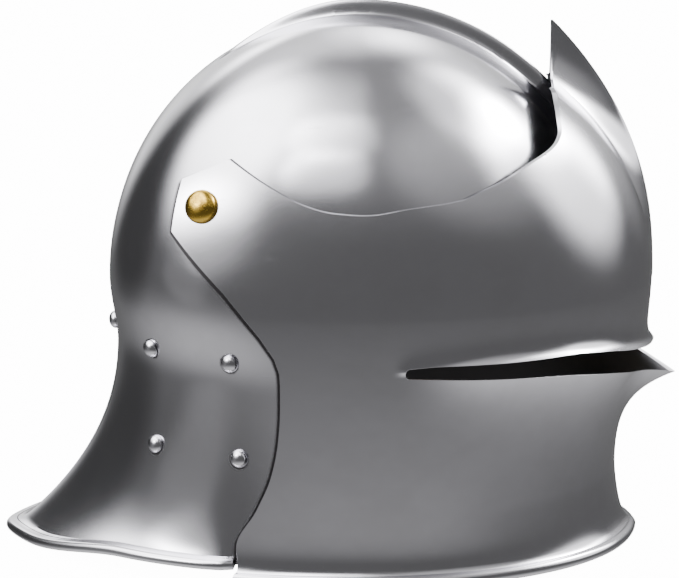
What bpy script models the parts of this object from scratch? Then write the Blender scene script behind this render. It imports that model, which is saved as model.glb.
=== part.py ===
"""Knight's helmet: a steel sallet with a pivoting visor, its liner and its chin strap.

+X is the way the helmet faces, +Y the wearer's left, +Z up. Drawn in millimetres, made in metres.
"""
import bpy
import bmesh
import numpy as np
from mathutils import Vector

# ---- driving dimensions, mm ----
SHEET = 1.6                      # steel thickness
CENTRE_X, EQUATOR_Z = 9.0, 134.0  # middle of the skull dome
DOME_HEIGHT = 128.0
HALF_WIDTH = 104.0
HALF_BACK, HALF_FRONT = 123.5, 124.0
TEMPLE_SQUARENESS = 0.6          # how much flatter the upper rear sides are than an ellipse
WAIST_TUCK = 14.0                # how far the sides draw in from equator to rim
TAIL_SWEEP = 52.6                # how far the tail reaches behind the nape
BROW_Z, CHEEK_X_ANGLE = 146.0, 97.0
COMB_HEIGHT, COMB_HALF = 9.5, 14.0
TAIL_ROLL, VISOR_ROLL = 2.7, 3.2  # radii of the rolled rims
VISOR_WIDTH, VISOR_FRONT, VISOR_BACK, VISOR_RISE = 110.6, 147.0, 153.0, 131.0
VISOR_SQUARENESS = 0.12
PIVOT_X, PIVOT_Z = -65.5, 185.5
FIN_EDGE_X = 105.0
KEEL_ANGLE = 5.4                 # half angle of the visor's keel, seen from above
SLIT_END_ANGLE = 78.3


def smooth(t):
    t = np.clip(t, 0.0, 1.0)
    return t * t * (3 - 2 * t)


def curve_through(points, at):
    """A smooth curve through the given corner points that never overshoots them."""
    px, pz = np.array(points, float).T
    step = np.diff(px)
    rise = np.diff(pz) / step
    mid = np.where(rise[:-1] * rise[1:] > 0, 2 * rise[:-1] * rise[1:] / (rise[:-1] + rise[1:] + 1e-12), 0.0)
    slope = np.concatenate([[rise[0]], mid, [rise[-1]]])
    at = np.clip(at, px[0], px[-1])
    k = np.clip(np.searchsorted(px, at) - 1, 0, len(step) - 1)
    t = (at - px[k]) / step[k]
    return ((1 + 2 * t) * (1 - t) ** 2 * pz[k] + t * (1 - t) ** 2 * step[k] * slope[k]
            + t * t * (3 - 2 * t) * pz[k + 1] + t * t * (t - 1) * step[k] * slope[k + 1])


# ---- the skull ----
def skull_edge_z(turn):
    """Height of the skull's edge at each turn (degrees from the front)."""
    turn = np.abs(turn)
    tail = TAIL_ROLL + 0.1 + 6.0 * smooth((171.0 - turn) / 22.0)
    return tail + (BROW_Z - tail) * smooth((CHEEK_X_ANGLE + 1 - turn) / 16.0)


def skull_wall(turn, drop):
    """Outer face of the plain skull, without its comb: turn in degrees, drop from the crown in radians."""
    d = np.radians(turn)
    s = np.sin(np.clip(drop, 1e-5, np.pi / 2))
    z = np.where(drop < np.pi / 2, EQUATOR_Z + DOME_HEIGHT * np.cos(drop),
                 EQUATOR_Z - DOME_HEIGHT * (drop - np.pi / 2))
    low = np.clip(EQUATOR_Z - z, 0, None)
    q = low / 126.0
    width = HALF_WIDTH * s - 1.15 * WAIST_TUCK * q * q / (q + 0.15)
    length = np.where(np.cos(d) < 0, HALF_BACK * s - 3.5 * smooth(low / 34.0), HALF_FRONT * s)
    n = 2 + TEMPLE_SQUARENESS * smooth((np.abs(turn) - 75.0) / 40.0) * smooth((z - 95.0) / 60.0)
    r = ((np.abs(np.cos(d)) / length) ** n + (np.abs(np.sin(d)) / width) ** n) ** (-1 / n)
    behind = 180.0 - np.abs(turn)
    r = r + (TAIL_SWEEP * np.exp(-(np.sqrt(behind ** 2 + 4) - 2) / 42.0) * smooth((84.0 - behind) / 36.0)
             * np.clip((105.0 - z) / 103.0, 0, 1) ** 2.3)
    rim = 2.4 * smooth((np.abs(turn) - 123.5) / 3.0)
    r = r + rim * np.exp(-np.clip(z - skull_edge_z(turn), 0, 80) / 5.0)
    return np.stack([CENTRE_X + r * np.cos(d), r * np.sin(d), z + 0 * r], axis=-1)


def drop_at(z):
    """The drop angle that reaches height z."""
    up = np.clip((z - EQUATOR_Z) / DOME_HEIGHT, 0, 1)
    return np.where(z > EQUATOR_Z, np.arccos(up), np.pi / 2 + (EQUATOR_Z - z) / DOME_HEIGHT)


def wall_normal(wall, turn, drop):
    e, f = 0.05, 1e-3
    drop = np.maximum(drop, 0.03)
    across = wall(turn + e, drop) - wall(turn - e, drop)
    down = wall(turn, drop + f) - wall(turn, drop - f)
    n = np.cross(down, across)
    return n / np.linalg.norm(n, axis=-1, keepdims=True)


def comb_lift(turn, drop):
    """How far the comb raises the skull, and which way."""
    p = skull_wall(turn, drop)
    q = np.clip(np.sqrt(p[..., 1] ** 2 + 0.6) / COMB_HALF, 0, 1)
    along = smooth((p[..., 0] + 74.0) / 82.0) * smooth((p[..., 2] - BROW_Z) / 34.0)
    lift = COMB_HEIGHT * along * (0.62 * (1 - smooth((q - 0.055) * 5.0)) + 0.38 * (1 - q) ** 2)
    x = (p[..., 0] - CENTRE_X) / HALF_FRONT ** 2
    z = np.clip(p[..., 2] - EQUATOR_Z, 0, None) / DOME_HEIGHT ** 2
    size = np.sqrt(x * x + z * z) + 1e-9
    return lift[..., None] * np.stack([x / size, 0 * x, z / size], axis=-1)


def inside_skull(turn, z, depth):
    """A point the given depth inside the skull's outer face."""
    drop = drop_at(z)
    return skull_wall(turn, drop) - depth * wall_normal(skull_wall, turn, drop)


# ---- the visor ----
LIP_UPPER = [(0, 100.0), (6, 100.8), (18.7, 104.8), (30, 109.4), (39.5, 111.6), (70, 111.7), (78.3, 110.7)]
LIP_LOWER = [(0, 82.0), (4, 85.2), (9, 88.5), (14, 90.6), (23, 94.8), (39.5, 100.6), (55, 103.2),
             (70, 105.0), (78.3, 105.8)]
TOP_EDGE = [(12, 229.5), (17, 225.5), (22, 219.5), (26, 213.0), (31, 208.2), (40, 203.0), (49, 197.0), (56, 193.0),
            (62, 189.5), (77, 186.5), (88, 184.0), (97, 185.0), (105.0, 188.5), (113.3, 195.0), (127.2, 207.5)]
REAR_LOW = [(3.0, 121.5), (18, 122.2), (38, 116.6), (55, 112.6), (72, 110.5), (89, 109.6), (102, 109.4)]
REAR_HIGH = [(102, 109.4), (108, 109.5), (115, 110.6), (125, 113.8), (138.6, 119.2), (146, 122.3),
             (173, 136.0), (197, 137.2)]


def visor_form(turn, z, upper):
    """Outer face of the visor: turn in degrees from the front, height, and which side of the sight it is on."""
    t = np.abs(turn)
    d = np.radians(turn)
    high = np.clip((z - EQUATOR_Z) / VISOR_RISE, 0, 0.9995)
    s = np.sqrt(1 - high ** 2)
    low = np.clip(EQUATOR_Z - z, 0, None)
    width = VISOR_WIDTH * s - 11.5 * (low / 126.0) ** 1.35
    back = VISOR_BACK * s - 3.0 * smooth(low / 60.0)
    lips_apart = smooth((SLIT_END_ANGLE - t) / 30.0)
    shared = VISOR_FRONT * s - 0.13 * low
    if upper:
        lip = curve_through(LIP_UPPER, t)
        front = VISOR_FRONT * s - 3.8 * (low / 31.0) ** 1.5
        flange = (3.4 * lips_apart + 1.2 * smooth((SLIT_END_ANGLE + 3 - t) / 6)) * np.exp(-np.clip(z - lip, 0, 90) / 3.4)
        beak = 0.0
    else:
        lip = curve_through(LIP_LOWER, t)
        q = np.clip((z - 36.0) / (lip - 36.0), 0, 1)
        front = 128.5 + 12.5 * q ** 2.2 + 3.0 * np.clip((36.0 - z) / 24.0, 0, 2) ** 1.5
        flange = 2.6 * smooth((SLIT_END_ANGLE + 3 - t) / 25.0) * q ** 6
        beak = 15.0 * q ** 5.3
    front = shared + (front - shared) * lips_apart
    length = np.where(np.cos(d) < 0, back, front)
    n = 2 + VISOR_SQUARENESS * smooth((t - 70.0) / 45.0)
    r = ((np.abs(np.cos(d)) / length) ** n + (np.abs(np.sin(d)) / width) ** n) ** (-1 / n)
    r = r + flange + 2.6 * np.exp(-np.clip(z - 2 * VISOR_ROLL, 0, 90) / 4.5)
    x, y = CENTRE_X + r * np.cos(d), r * np.sin(d)
    q = np.clip(np.sqrt(t ** 2 + 0.02) / KEEL_ANGLE, 0, 1)
    ridge = 156.5 - 51.0 * (np.clip(z - EQUATOR_Z, 0, None) / 129.0) ** 2.33
    keel = np.clip(ridge - (CENTRE_X + VISOR_FRONT * s), 0, None) * (0.55 * (1 - q) + 0.45 * (1 - q) ** 2)
    point = np.clip(1 - np.sqrt(y ** 2 + 0.3) / 34.0, 0, 1)
    x = x + keel * (z > EQUATOR_Z) + beak * point ** 1.5 + 1.6 * point ** 2 * smooth(low / 40.0)
    return np.stack([x, y, z + 0 * x], axis=-1)


def visor_top_z(turn):
    """Height of the visor's top edge: the fin is cut off upright at its rear, then the edge dips and rises."""
    t = np.abs(np.asarray(turn, float))
    steps, levels = np.linspace(0.0, 12.0, 61), np.linspace(200.0, 262.9, 900)
    reach = visor_form(steps[:, None] + 0 * levels, levels + 0 * steps[:, None], True)[..., 0]
    fin = np.where(reach >= FIN_EDGE_X, levels, 0).max(axis=1)
    edge = np.where(t > 127.2, 207.5 - 10.5 * (t - 127.2) / 10.0, curve_through(TOP_EDGE, t))
    return np.where(t < 12.0, np.interp(t, steps, fin), edge)


# ---- making solids ----
for old in list(bpy.data.objects):
    bpy.data.objects.remove(old, do_unlink=True)


def material(name, colour, rough, metal):
    made = bpy.data.materials.new(name)
    made.use_nodes = True
    shader = made.node_tree.nodes["Principled BSDF"]
    shader.inputs["Base Color"].default_value = (*colour, 1.0)
    shader.inputs["Roughness"].default_value = rough
    shader.inputs["Metallic"].default_value = metal
    return made


STEEL = material("polished steel", (0.60, 0.61, 0.63), 0.22, 1.0)
BRASS = material("brass", (0.80, 0.58, 0.22), 0.25, 1.0)
LEATHER = material("brown leather", (0.25, 0.13, 0.06), 0.65, 0.0)
LINEN = material("linen canvas", (0.68, 0.60, 0.46), 0.85, 0.0)
CORD = material("flax cord", (0.72, 0.66, 0.52), 0.80, 0.0)


def solid(name, points, faces, paint, origin=(0, 0, 0), round_over=True):
    """A closed body from points in mm, its origin set at the given place."""
    origin = np.array(origin, float)
    mesh = bpy.data.meshes.new(name)
    mesh.from_pydata(((np.asarray(points, float) - origin) * 0.001).tolist(), [], [list(f) for f in faces])
    work = bmesh.new()
    work.from_mesh(mesh)
    bmesh.ops.remove_doubles(work, verts=work.verts, dist=1e-7)
    bmesh.ops.recalc_face_normals(work, faces=work.faces)
    work.to_mesh(mesh)
    work.free()
    mesh.polygons.foreach_set("use_smooth", [round_over] * len(mesh.polygons))
    mesh.materials.append(paint)
    made = bpy.data.objects.new(name, mesh)
    made.location = origin * 0.001
    bpy.context.scene.collection.objects.link(made)
    return made


def shell(name, outer, inner, keep, ids, paint, origin=(0, 0, 0)):
    """A sheet between two grids of points, closed all round its edges."""
    count = ids.max() + 1
    points = np.zeros((2 * count, 3))
    points[ids.ravel()] = outer.reshape(-1, 3)
    points[ids.ravel() + count] = inner.reshape(-1, 3)
    faces, edges = [], set()
    for i in range(ids.shape[0] - 1):
        for j in range(ids.shape[1] - 1):
            loop = [ids[i, j], ids[i, j + 1], ids[i + 1, j + 1], ids[i + 1, j]]
            loop = [int(p) for k, p in enumerate(loop) if p != loop[k - 1]]
            if not keep[i, j] or len(loop) < 3:
                continue
            faces += [loop, [p + count for p in reversed(loop)]]
            edges |= set(zip(loop, loop[1:] + loop[:1]))
    faces += [[b, a, a + count, b + count] for a, b in edges if (b, a) not in edges]
    used = np.unique(np.concatenate([np.array(f) for f in faces]))
    new = np.full(2 * count, -1)
    new[used] = np.arange(len(used))
    return solid(name, points[used], [[int(new[p]) for p in f] for f in faces], paint, origin)


def ribbon(name, path, side, wide, thick, paint, closed=False, origin=(0, 0, 0)):
    """A flat strap swept along a path: side is its width direction at each point of the path."""
    path, side = np.array(path, float), np.array(side, float)
    wide = wide * np.ones((len(path), 1))
    ahead = (np.roll(path, -1, 0) - np.roll(path, 1, 0)) if closed else np.gradient(path, axis=0)
    ahead /= np.linalg.norm(ahead, axis=1, keepdims=True)
    side -= ahead * (side * ahead).sum(1, keepdims=True)
    side /= np.linalg.norm(side, axis=1, keepdims=True)
    up = np.cross(ahead, side)
    ring = [(-1, -1), (1, -1), (1, 1), (-1, 1)]
    rows = [path + side * wide / 2 * a + up * thick / 2 * b for a, b in ring]
    return tube_from_rows(name, np.stack(rows, 1), paint, closed, False, origin)


def tube_from_rows(name, rows, paint, closed, round_over, origin=(0, 0, 0)):
    n, m = rows.shape[:2]
    faces = [[i * m + k, i * m + (k + 1) % m, (i + 1) % n * m + (k + 1) % m, (i + 1) % n * m + k]
             for i in range(n if closed else n - 1) for k in range(m)]
    if not closed:
        faces += [list(range(m)), list(range((n - 1) * m, n * m))]
    return solid(name, rows.reshape(-1, 3), faces, paint, origin, round_over)


def wire(name, path, radius, sides, paint, closed, origin=(0, 0, 0), up=(0.0, 0.0, 1.0)):
    """A round wire or cord of one radius swept along a path."""
    path = np.array(path, float)
    ahead = (np.roll(path, -1, 0) - np.roll(path, 1, 0)) if closed else np.gradient(path, axis=0)
    ahead /= np.linalg.norm(ahead, axis=1, keepdims=True)
    one = np.cross(ahead, np.array(up))
    one /= np.linalg.norm(one, axis=1, keepdims=True)
    two = np.cross(ahead, one)
    a = np.arange(sides) * 2 * np.pi / sides
    rows = path[:, None] + radius * (np.cos(a)[None, :, None] * one[:, None] + np.sin(a)[None, :, None] * two[:, None])
    return tube_from_rows(name, rows, paint, closed, True, origin)


def turned(name, profile, sides, at, along, paint, origin=None, shear_to=None, shear_above=1e9):
    """A round piece from (radius, distance along the axis) pairs. Points past shear_above sit square to shear_to."""
    along = Vector(along).normalized()
    spin = np.array(along.to_track_quat("Z", "Y").to_matrix())
    a = np.arange(sides) * 2 * np.pi / sides
    points, faces = [], []
    for radius, h in profile:
        frame = spin
        if shear_to is not None and h >= shear_above:
            frame = np.array(Vector(shear_to).normalized().to_track_quat("Z", "Y").to_matrix())
        base = np.array(at, float)
        for k in range(sides if radius > 0 else 1):
            points.append(base + frame @ np.array([radius * np.cos(a[k]), radius * np.sin(a[k]), h]))
    starts = np.cumsum([0] + [sides if r > 0 else 1 for r, h in profile])
    for i in range(len(profile) - 1):
        one, two = profile[i][0] > 0, profile[i + 1][0] > 0
        for k in range(sides):
            a0, a1 = starts[i] + (k if one else 0), starts[i] + ((k + 1) % sides if one else 0)
            b0, b1 = starts[i + 1] + (k if two else 0), starts[i + 1] + ((k + 1) % sides if two else 0)
            faces.append(list(dict.fromkeys([a0, a1, b1, b0])))
    return solid(name, points, faces, paint, at if origin is None else origin)


def cut(piece, cutter):
    cutter.hide_render = True
    cutter.display_type = "WIRE"
    tool = piece.modifiers.new("holes", "BOOLEAN")
    tool.operation, tool.solver, tool.object = "DIFFERENCE", "EXACT", cutter


def drills(name, places, sides=8):
    """Separate round drills, as one helper object: (place, direction, radius, half length) each."""
    points, faces = [], []
    for at, along, radius, half in places:
        spin = np.array(Vector(along).normalized().to_track_quat("Z", "Y").to_matrix())
        a = np.arange(sides) * 2 * np.pi / sides
        n = len(points)
        for h in (-half, half):
            points += [np.array(at) + spin @ np.array([radius * np.cos(k), radius * np.sin(k), h]) for k in a]
        faces += [[n + k, n + (k + 1) % sides, n + sides + (k + 1) % sides, n + sides + k] for k in range(sides)]
        faces += [[n + k for k in range(sides)], [n + sides + k for k in range(sides)]]
    return solid(name, points, faces, STEEL)


# ---- skull ----
TURNS = np.array([0, 1.7, 3.4, 7, 12, 20, 29, 38, 47, 56, 65, 74, 80, 85, 89, 93, 98, 106, 115, 123.4, 124.2, 131, 139, 147,
                  155, 162, 168, 173, 176.6, 178.3, 180.0])
turns = np.concatenate([TURNS, -TURNS[-2::-1]])
edge = skull_edge_z(turns)
roll = np.where(np.abs(turns) > 123.8, TAIL_ROLL, 0.85)
last = drop_at(edge + roll + 1.0)
share = np.concatenate([[0, 0.0065, 0.0145, 0.032], np.linspace(1 / 17, 1, 17) ** 0.95])
drops = share[:, None] * last[None, :]
grid_turn = turns[None, :] + 0 * drops
outer = skull_wall(grid_turn, drops)
normal = wall_normal(skull_wall, grid_turn, drops)
normal[0] = (0, 0, 1)
lift = comb_lift(grid_turn, drops)
inner = outer - SHEET * normal + 0.8 * lift
outer = outer + lift
rim_point = skull_wall(turns, drop_at(edge))
away = wall_normal(skull_wall, turns, drop_at(edge + 9.0))
away[:, 2] = 0
away /= np.linalg.norm(away, axis=1, keepdims=True)
centre = rim_point + away * (roll - SHEET)[:, None]
for k, phi in enumerate(np.radians([80, 40, 0, -40, -80, -110])):
    bead = centre + roll[:, None] * (np.cos(phi) * away + np.sin(phi) * np.array([0, 0, 1.0]))
    within = rim_point - SHEET * away + np.array([0, 0, 1.0]) * ((roll + 0.6) * (5 - k) / 6)[:, None]
    outer, inner = np.concatenate([outer, bead[None]]), np.concatenate([inner, within[None]])
rows, cols = outer.shape[:2]
ids = np.arange(rows * cols).reshape(rows, cols)
ids[:, -1] = ids[:, 0]
ids[0, :] = ids[0, 0]
skull = shell("skull", outer, inner, np.ones((rows, cols), bool), ids, STEEL)

# ---- visor ----
BASE_TURNS = np.array([0, 0.9, 2, 3.4, 4.6, 5.4, 8, 11.95, 17, 24, 31, 40, 49, 58, 67, 74, 77.3, 78.3, 83, 89, 94, 98.5,
                       102.0, 105.5, 109.4])
FAN = np.clip((BASE_TURNS - 70.0) / (109.4 - 70.0), 0, 1) ** 1.3


def visor_patch(upper, count, fan_turns=BASE_TURNS, fan=FAN):
    """Grid of the half visor above or below the sight: (turn, height) of each point, rows going upwards."""
    if upper:
        z_rear = np.concatenate([np.linspace(102, 173, count - 2), [186, 197.0]])
        rear = np.interp(z_rear, *np.array(REAR_HIGH).T)
    else:
        z_rear = np.linspace(2 * VISOR_ROLL + 1.0, 102, count)
        rear = np.interp(z_rear, *np.array(REAR_LOW).T)
    turn = fan_turns[None, :] + fan[None, :] * (rear[:, None] - 109.4)
    v = (z_rear - z_rear[0]) / (z_rear[-1] - z_rear[0])
    closing = np.sqrt(np.clip(1 - (1 - np.clip((SLIT_END_ANGLE - fan_turns) / 1.1, 0, 1)) ** 2, 0, 1))
    lip = curve_through(LIP_UPPER if upper else LIP_LOWER, fan_turns)
    middle = 108.2 - 6.2 * smooth((fan_turns - SLIT_END_ANGLE) / 31.1)
    lip = np.where(fan_turns < SLIT_END_ANGLE, middle + (lip - middle) * closing, middle)
    if upper:
        bottom, top = lip, visor_top_z(turn[-1])
    else:
        bottom, top = np.full_like(lip, z_rear[0]), lip
    z = bottom + v[:, None] * (top - bottom)[None, :]
    z += fan[None, :] ** 3 * (z_rear - (bottom[-1] + v * (top[-1] - bottom[-1])))[:, None]
    return turn, z


def visor_faces(turn, z, upper):
    """Outer and inner faces: the thickness is measured square to the sheet, set off straight inwards."""
    outer = visor_form(turn, z, upper)
    e = 0.02
    across = visor_form(turn + e, z, upper) - visor_form(turn - e, z, upper)
    climb = visor_form(turn, z + e, upper) - visor_form(turn, z - e, upper)
    normal = np.cross(across, climb)
    normal /= np.linalg.norm(normal, axis=-1, keepdims=True)
    d = np.radians(turn)
    inward = np.stack([np.cos(d), np.sin(d), 0 * d], axis=-1)
    depth = SHEET / np.clip(np.abs((normal * inward).sum(-1)), 0.2, 1)
    depth = np.where(np.abs(turn) < 0.5, np.roll(depth, -1, axis=1), depth)
    inner = outer - depth[..., None] * inward
    if upper:
        tip = np.abs(turn) < 11.9
        inner[..., 0] = np.where(tip, np.maximum(inner[..., 0], np.minimum(FIN_EDGE_X, outer[..., 0]) - 1.1), inner[..., 0])
    return outer, inner


low_turn, low_z = visor_patch(False, 9)
high_turn, high_z = visor_patch(True, 11)
low_out, low_in = visor_faces(low_turn, low_z, False)
high_out, high_in = visor_faces(high_turn, high_z, True)
foot = visor_form(low_turn[0], np.full(len(BASE_TURNS), 2 * VISOR_ROLL), False)
beads, withins = [], []
d = np.radians(low_turn[0])
away = np.stack([np.cos(d), np.sin(d), 0 * d], axis=-1)
centre = foot + away * (VISOR_ROLL - SHEET - 0.4)
centre[:, 2] = VISOR_ROLL - 0.25
for k, phi in enumerate(np.radians([-105, -72, -35, 0, 40, 80])):
    bead = centre + VISOR_ROLL * (np.cos(phi) * away + np.sin(phi) * np.array([0, 0, 1.0]))
    bead[:, 2] = np.maximum(bead[:, 2], 0.0)
    within = low_in[0].copy()
    within[:, 2] = 1.2 + k * 0.95
    beads.append(bead)
    withins.append(within)
low_out = np.concatenate([np.array(beads), low_out])
low_in = np.concatenate([np.array(withins), low_in])
outer = np.concatenate([low_out, high_out])
inner = np.concatenate([low_in, high_in])
seam = len(low_out)
mirror = np.array([1, -1, 1.0])
outer = np.concatenate([outer[:, :0:-1] * mirror, outer], axis=1)
inner = np.concatenate([inner[:, :0:-1] * mirror, inner], axis=1)
rows, cols = outer.shape[:2]
ids = np.arange(rows * cols).reshape(rows, cols)
half = cols // 2
apart = np.abs(np.arange(cols) - half) < np.argmin(np.abs(BASE_TURNS - SLIT_END_ANGLE))
ids[seam] = np.where(apart, ids[seam], ids[seam - 1])
outer[seam] = np.where(apart[:, None], outer[seam], outer[seam - 1])
inner[seam] = np.where(apart[:, None], inner[seam], inner[seam - 1])
keep = np.ones((rows, cols), bool)
keep[seam - 1] = False
PIVOT = (PIVOT_X, 0.0, PIVOT_Z)
visor = shell("visor", outer, inner, keep, ids, STEEL, PIVOT)

# ---- pivots: each stud turns with the visor in a hole of the skull ----
def side_width(form, x, z):
    """Half width of a surface at (x, z), by closing in on its turn."""
    lo, hi = 91.0, 179.0
    for _ in range(40):
        mid = (lo + hi) / 2
        lo, hi = (mid, hi) if form(mid)[0] > x else (lo, mid)
    return float(form(lo)[1])


def visor_at(turn, z=PIVOT_Z):
    return visor_form(np.array([turn]), np.array([z]), True)[0]


def skull_at(turn, z=PIVOT_Z):
    return skull_wall(np.array([turn]), drop_at(np.array([z])))[0]


visor_y = side_width(visor_at, PIVOT_X, PIVOT_Z)
skull_y = side_width(skull_at, PIVOT_X, PIVOT_Z)
slope_x = (side_width(visor_at, PIVOT_X + 1, PIVOT_Z) - side_width(visor_at, PIVOT_X - 1, PIVOT_Z)) / 2
slope_z = (side_width(lambda t: visor_at(t, PIVOT_Z + 1), PIVOT_X, 0)
           - side_width(lambda t: visor_at(t, PIVOT_Z - 1), PIVOT_X, 0)) / 2
skull_drills, visor_drills = [], []
for word, s in (("right", -1), ("left", 1)):
    square = np.array([-slope_x, 1.0, -slope_z]) * np.array([1, s, 1])
    top = np.array([PIVOT_X, s * visor_y, PIVOT_Z])
    inside = skull_y - 13.6
    dome = [(8.2, 0.4), (8.0, 1.5), (7.0, 3.2), (5.0, 4.7), (2.5, 5.5), (0, 5.75)]
    stem = [(0, inside - visor_y), (2.6, inside - visor_y), (2.6, -2.0)]
    turned("pivot_stud_" + word, stem + [(2.6, 0.4)] + dome, 20, top, (0, s, 0), BRASS, None, square, 0.0)
    washer = [(3.0, -0.6), (6.5, -0.6), (6.5, 0.6), (3.0, 0.6), (3.0, -0.6)]
    at = np.array([PIVOT_X, s * (skull_y - 9.2), PIVOT_Z])
    turned("pivot_washer_" + word, washer, 16, at, (0, s, 0), STEEL, at)
    at = np.array([PIVOT_X, s * (skull_y - 11.6), PIVOT_Z])
    turned("pivot_nut_" + word, [(3.0, -1.4), (5.4, -1.4), (5.4, 1.4), (3.0, 1.4), (3.0, -1.4)], 6, at,
           (0, s, 0), STEEL, at)
    skull_drills.append(((PIVOT_X, s * skull_y, PIVOT_Z), (0, s, 0), 3.1, 9.0))
    visor_drills.append(((PIVOT_X, s * visor_y, PIVOT_Z), (0, s, 0), 3.1, 9.0))

# ---- rivets: a domed head outside, and a flat one closed over the leather inside ----
UPPER_RIVETS = [("back", 180.0, 109.0), ("rear_left", 149.6, 109.0), ("rear_right", -149.6, 109.0),
                ("side_left", 124.6, 109.0), ("side_right", -124.6, 109.0), ("temple_left", 58.0, 158.0),
                ("temple_right", -58.0, 158.0), ("brow_left", 25.0, 158.0), ("brow_right", -25.0, 158.0)]
LOWER_RIVETS = [("strap_rear_left", 148.5, 61.0), ("strap_rear_right", -148.5, 61.0),
                ("strap_front_left", 123.4, 61.0), ("strap_front_right", -123.4, 61.0)]
leather_drills, strap_drills = [], []
for word, turn, z in UPPER_RIVETS + LOWER_RIVETS:
    drop = drop_at(np.array(z))
    at = skull_wall(np.array(turn), drop)
    out = wall_normal(skull_wall, np.array(turn), drop)
    head = [(0, -8.0), (2.5, -8.0), (2.9, -7.2), (1.7, -6.8), (1.7, 0.8), (5.0, 0.8), (4.6, 2.2), (2.9, 3.5), (0, 4.1)]
    turned("rivet_" + word, head, 12, at, out, STEEL)
    skull_drills.append((at, out, 2.1, 6.0))
    (strap_drills if "strap" in word else leather_drills).append((at, out, 2.1, 9.0))
cut(skull, drills("skull drill", skull_drills))
cut(visor, drills("visor drill", visor_drills))

# ---- liner: a leather band riveted round the skull, and linen fingers drawn together by a lace ----
def band_height(turn):
    return 109.0 + 49.0 * smooth((112.0 - np.abs(turn)) / 42.0)


BAND_TURNS = np.linspace(-180, 180, 61)
band_rows = []
for up, depth in ((-7, 3.6), (7, 3.6), (7, 5.7), (-7, 5.7)):
    band_rows.append(inside_skull(BAND_TURNS, band_height(BAND_TURNS) + up, depth))
band = tube_from_rows("liner_band", np.stack(band_rows, 1)[:-1], LEATHER, True, False)
cut(band, drills("band drill", leather_drills))

FINGERS, TIP_DROP = 8, 0.2


def finger_face(turn, t, start, depth):
    """A finger's face: t runs from the band to the tip, which hangs clear of the crown."""
    drop = start + (TIP_DROP - start) * t
    depth = depth + 24.5 * smooth(t * 0.96 + 0.04)
    return skull_wall(turn, drop) - depth[..., None] * wall_normal(skull_wall, turn, drop)


def lace_line(turn):
    """The middle of the lace's path: through the fingers a little below their tips."""
    start = drop_at(band_height(turn) + 4.0)
    t = (start - 0.278) / (start - TIP_DROP)
    return finger_face(turn, t, start, 7.45 + 0 * t)


for k in range(FINGERS):
    middle = 22.5 + 45.0 * k - (360.0 if k >= 4 else 0.0)
    t = np.linspace(0, 1, 9)[:, None] + np.zeros((1, 5))
    turn = middle + np.linspace(-1, 1, 5)[None, :] * (19.0 - 5.0 * t)
    start = drop_at(band_height(turn[0]) + 4.0)[None, :] + 0 * t
    out = finger_face(turn, t, start, 6.5 + 0 * t)
    back = finger_face(turn, t, start, 8.4 + 0 * t)
    finger_ids = np.arange(out.shape[0] * out.shape[1]).reshape(out.shape[:2])
    finger = shell("liner_finger_%d" % (k + 1), out, back, np.ones(out.shape[:2], bool), finger_ids, LINEN)
    hole = lace_line(np.array([middle]))[0]
    cut(finger, drills("finger drill %d" % (k + 1), [(hole, (0, 0, 1), 4.1, 9.0)], 10))
around = np.linspace(0, 2 * np.pi, 65)[:-1]
lace = lace_line((np.degrees(around) + 180.0) % 360.0 - 180.0)
lace[:, 2] += -5.0 * np.sin(4 * around + np.pi / 2)
wire("liner_lace", lace, 1.1, 6, CORD, True)

# ---- chin strap: a yoke on two rivets each side, and a strap buckled across ----
YOKE_DEPTH = 4.2
for word, s in (("right", -1), ("left", 1)):
    t = np.linspace(-1, 1, 17)
    turn = s * (136.0 - 14.6 * t)
    z = 30.0 + 37.0 * np.abs(t) ** 1.3
    middle = inside_skull(turn, z, YOKE_DEPTH)
    ahead = np.gradient(middle, axis=0)
    n = wall_normal(skull_wall, turn, drop_at(z))
    side = np.cross(n, ahead)
    yoke = ribbon("chin_yoke_" + word, middle, side, 11.0, 1.8, LEATHER)
    cut(yoke, drills("yoke drill " + word, [d for d in strap_drills if d[0][1] * s > 0]))

yoke_low = inside_skull(np.array([136.0]), np.array([44.0]), YOKE_DEPTH + 4.0)[0]
STRAP_X, LAY, THICK = float(yoke_low[0]), 2.7, 1.8
HANG = [(36.0, 0.0), (24.0, 0.0), (15.0, 1.0), (8.5, 4.0), (4.4, 9.5), (LAY, 17.0), (LAY, 26.0)]
BAR_Y, BAR_Z, FRONT_Y = -30.0, LAY + 2.5, -9.0
hang_y = float(yoke_low[1]) - 0.6
right = [(-(hang_y - dy), z) for z, dy in HANG] + [(-44.0, LAY), (-36.0, LAY), (BAR_Y, LAY)]
right += [(BAR_Y + 2.5 * np.sin(a), BAR_Z - 2.5 * np.cos(a)) for a in np.radians([35, 70, 105, 140, 175])]
right += [(-34.0, BAR_Z + 1.6), (-38.0, BAR_Z + 0.3), (-43.0, BAR_Z - 0.25), (-54.0, BAR_Z - 0.3)]
left = [(hang_y - dy, z) for z, dy in HANG] + [(20.0, LAY), (-4.0, LAY), (FRONT_Y, LAY), (-12.5, LAY + 0.7)]
left += [(-16.0, LAY + 2.8), (-20.0, LAY + 5.8), (-24.0, LAY + 7.4), (-29.0, LAY + 7.7), (-35.0, LAY + 6.6)]
left += [(-42.0, LAY + 4.8), (-52.0, LAY + 4.4), (-60.0, LAY + 4.0)]
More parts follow.
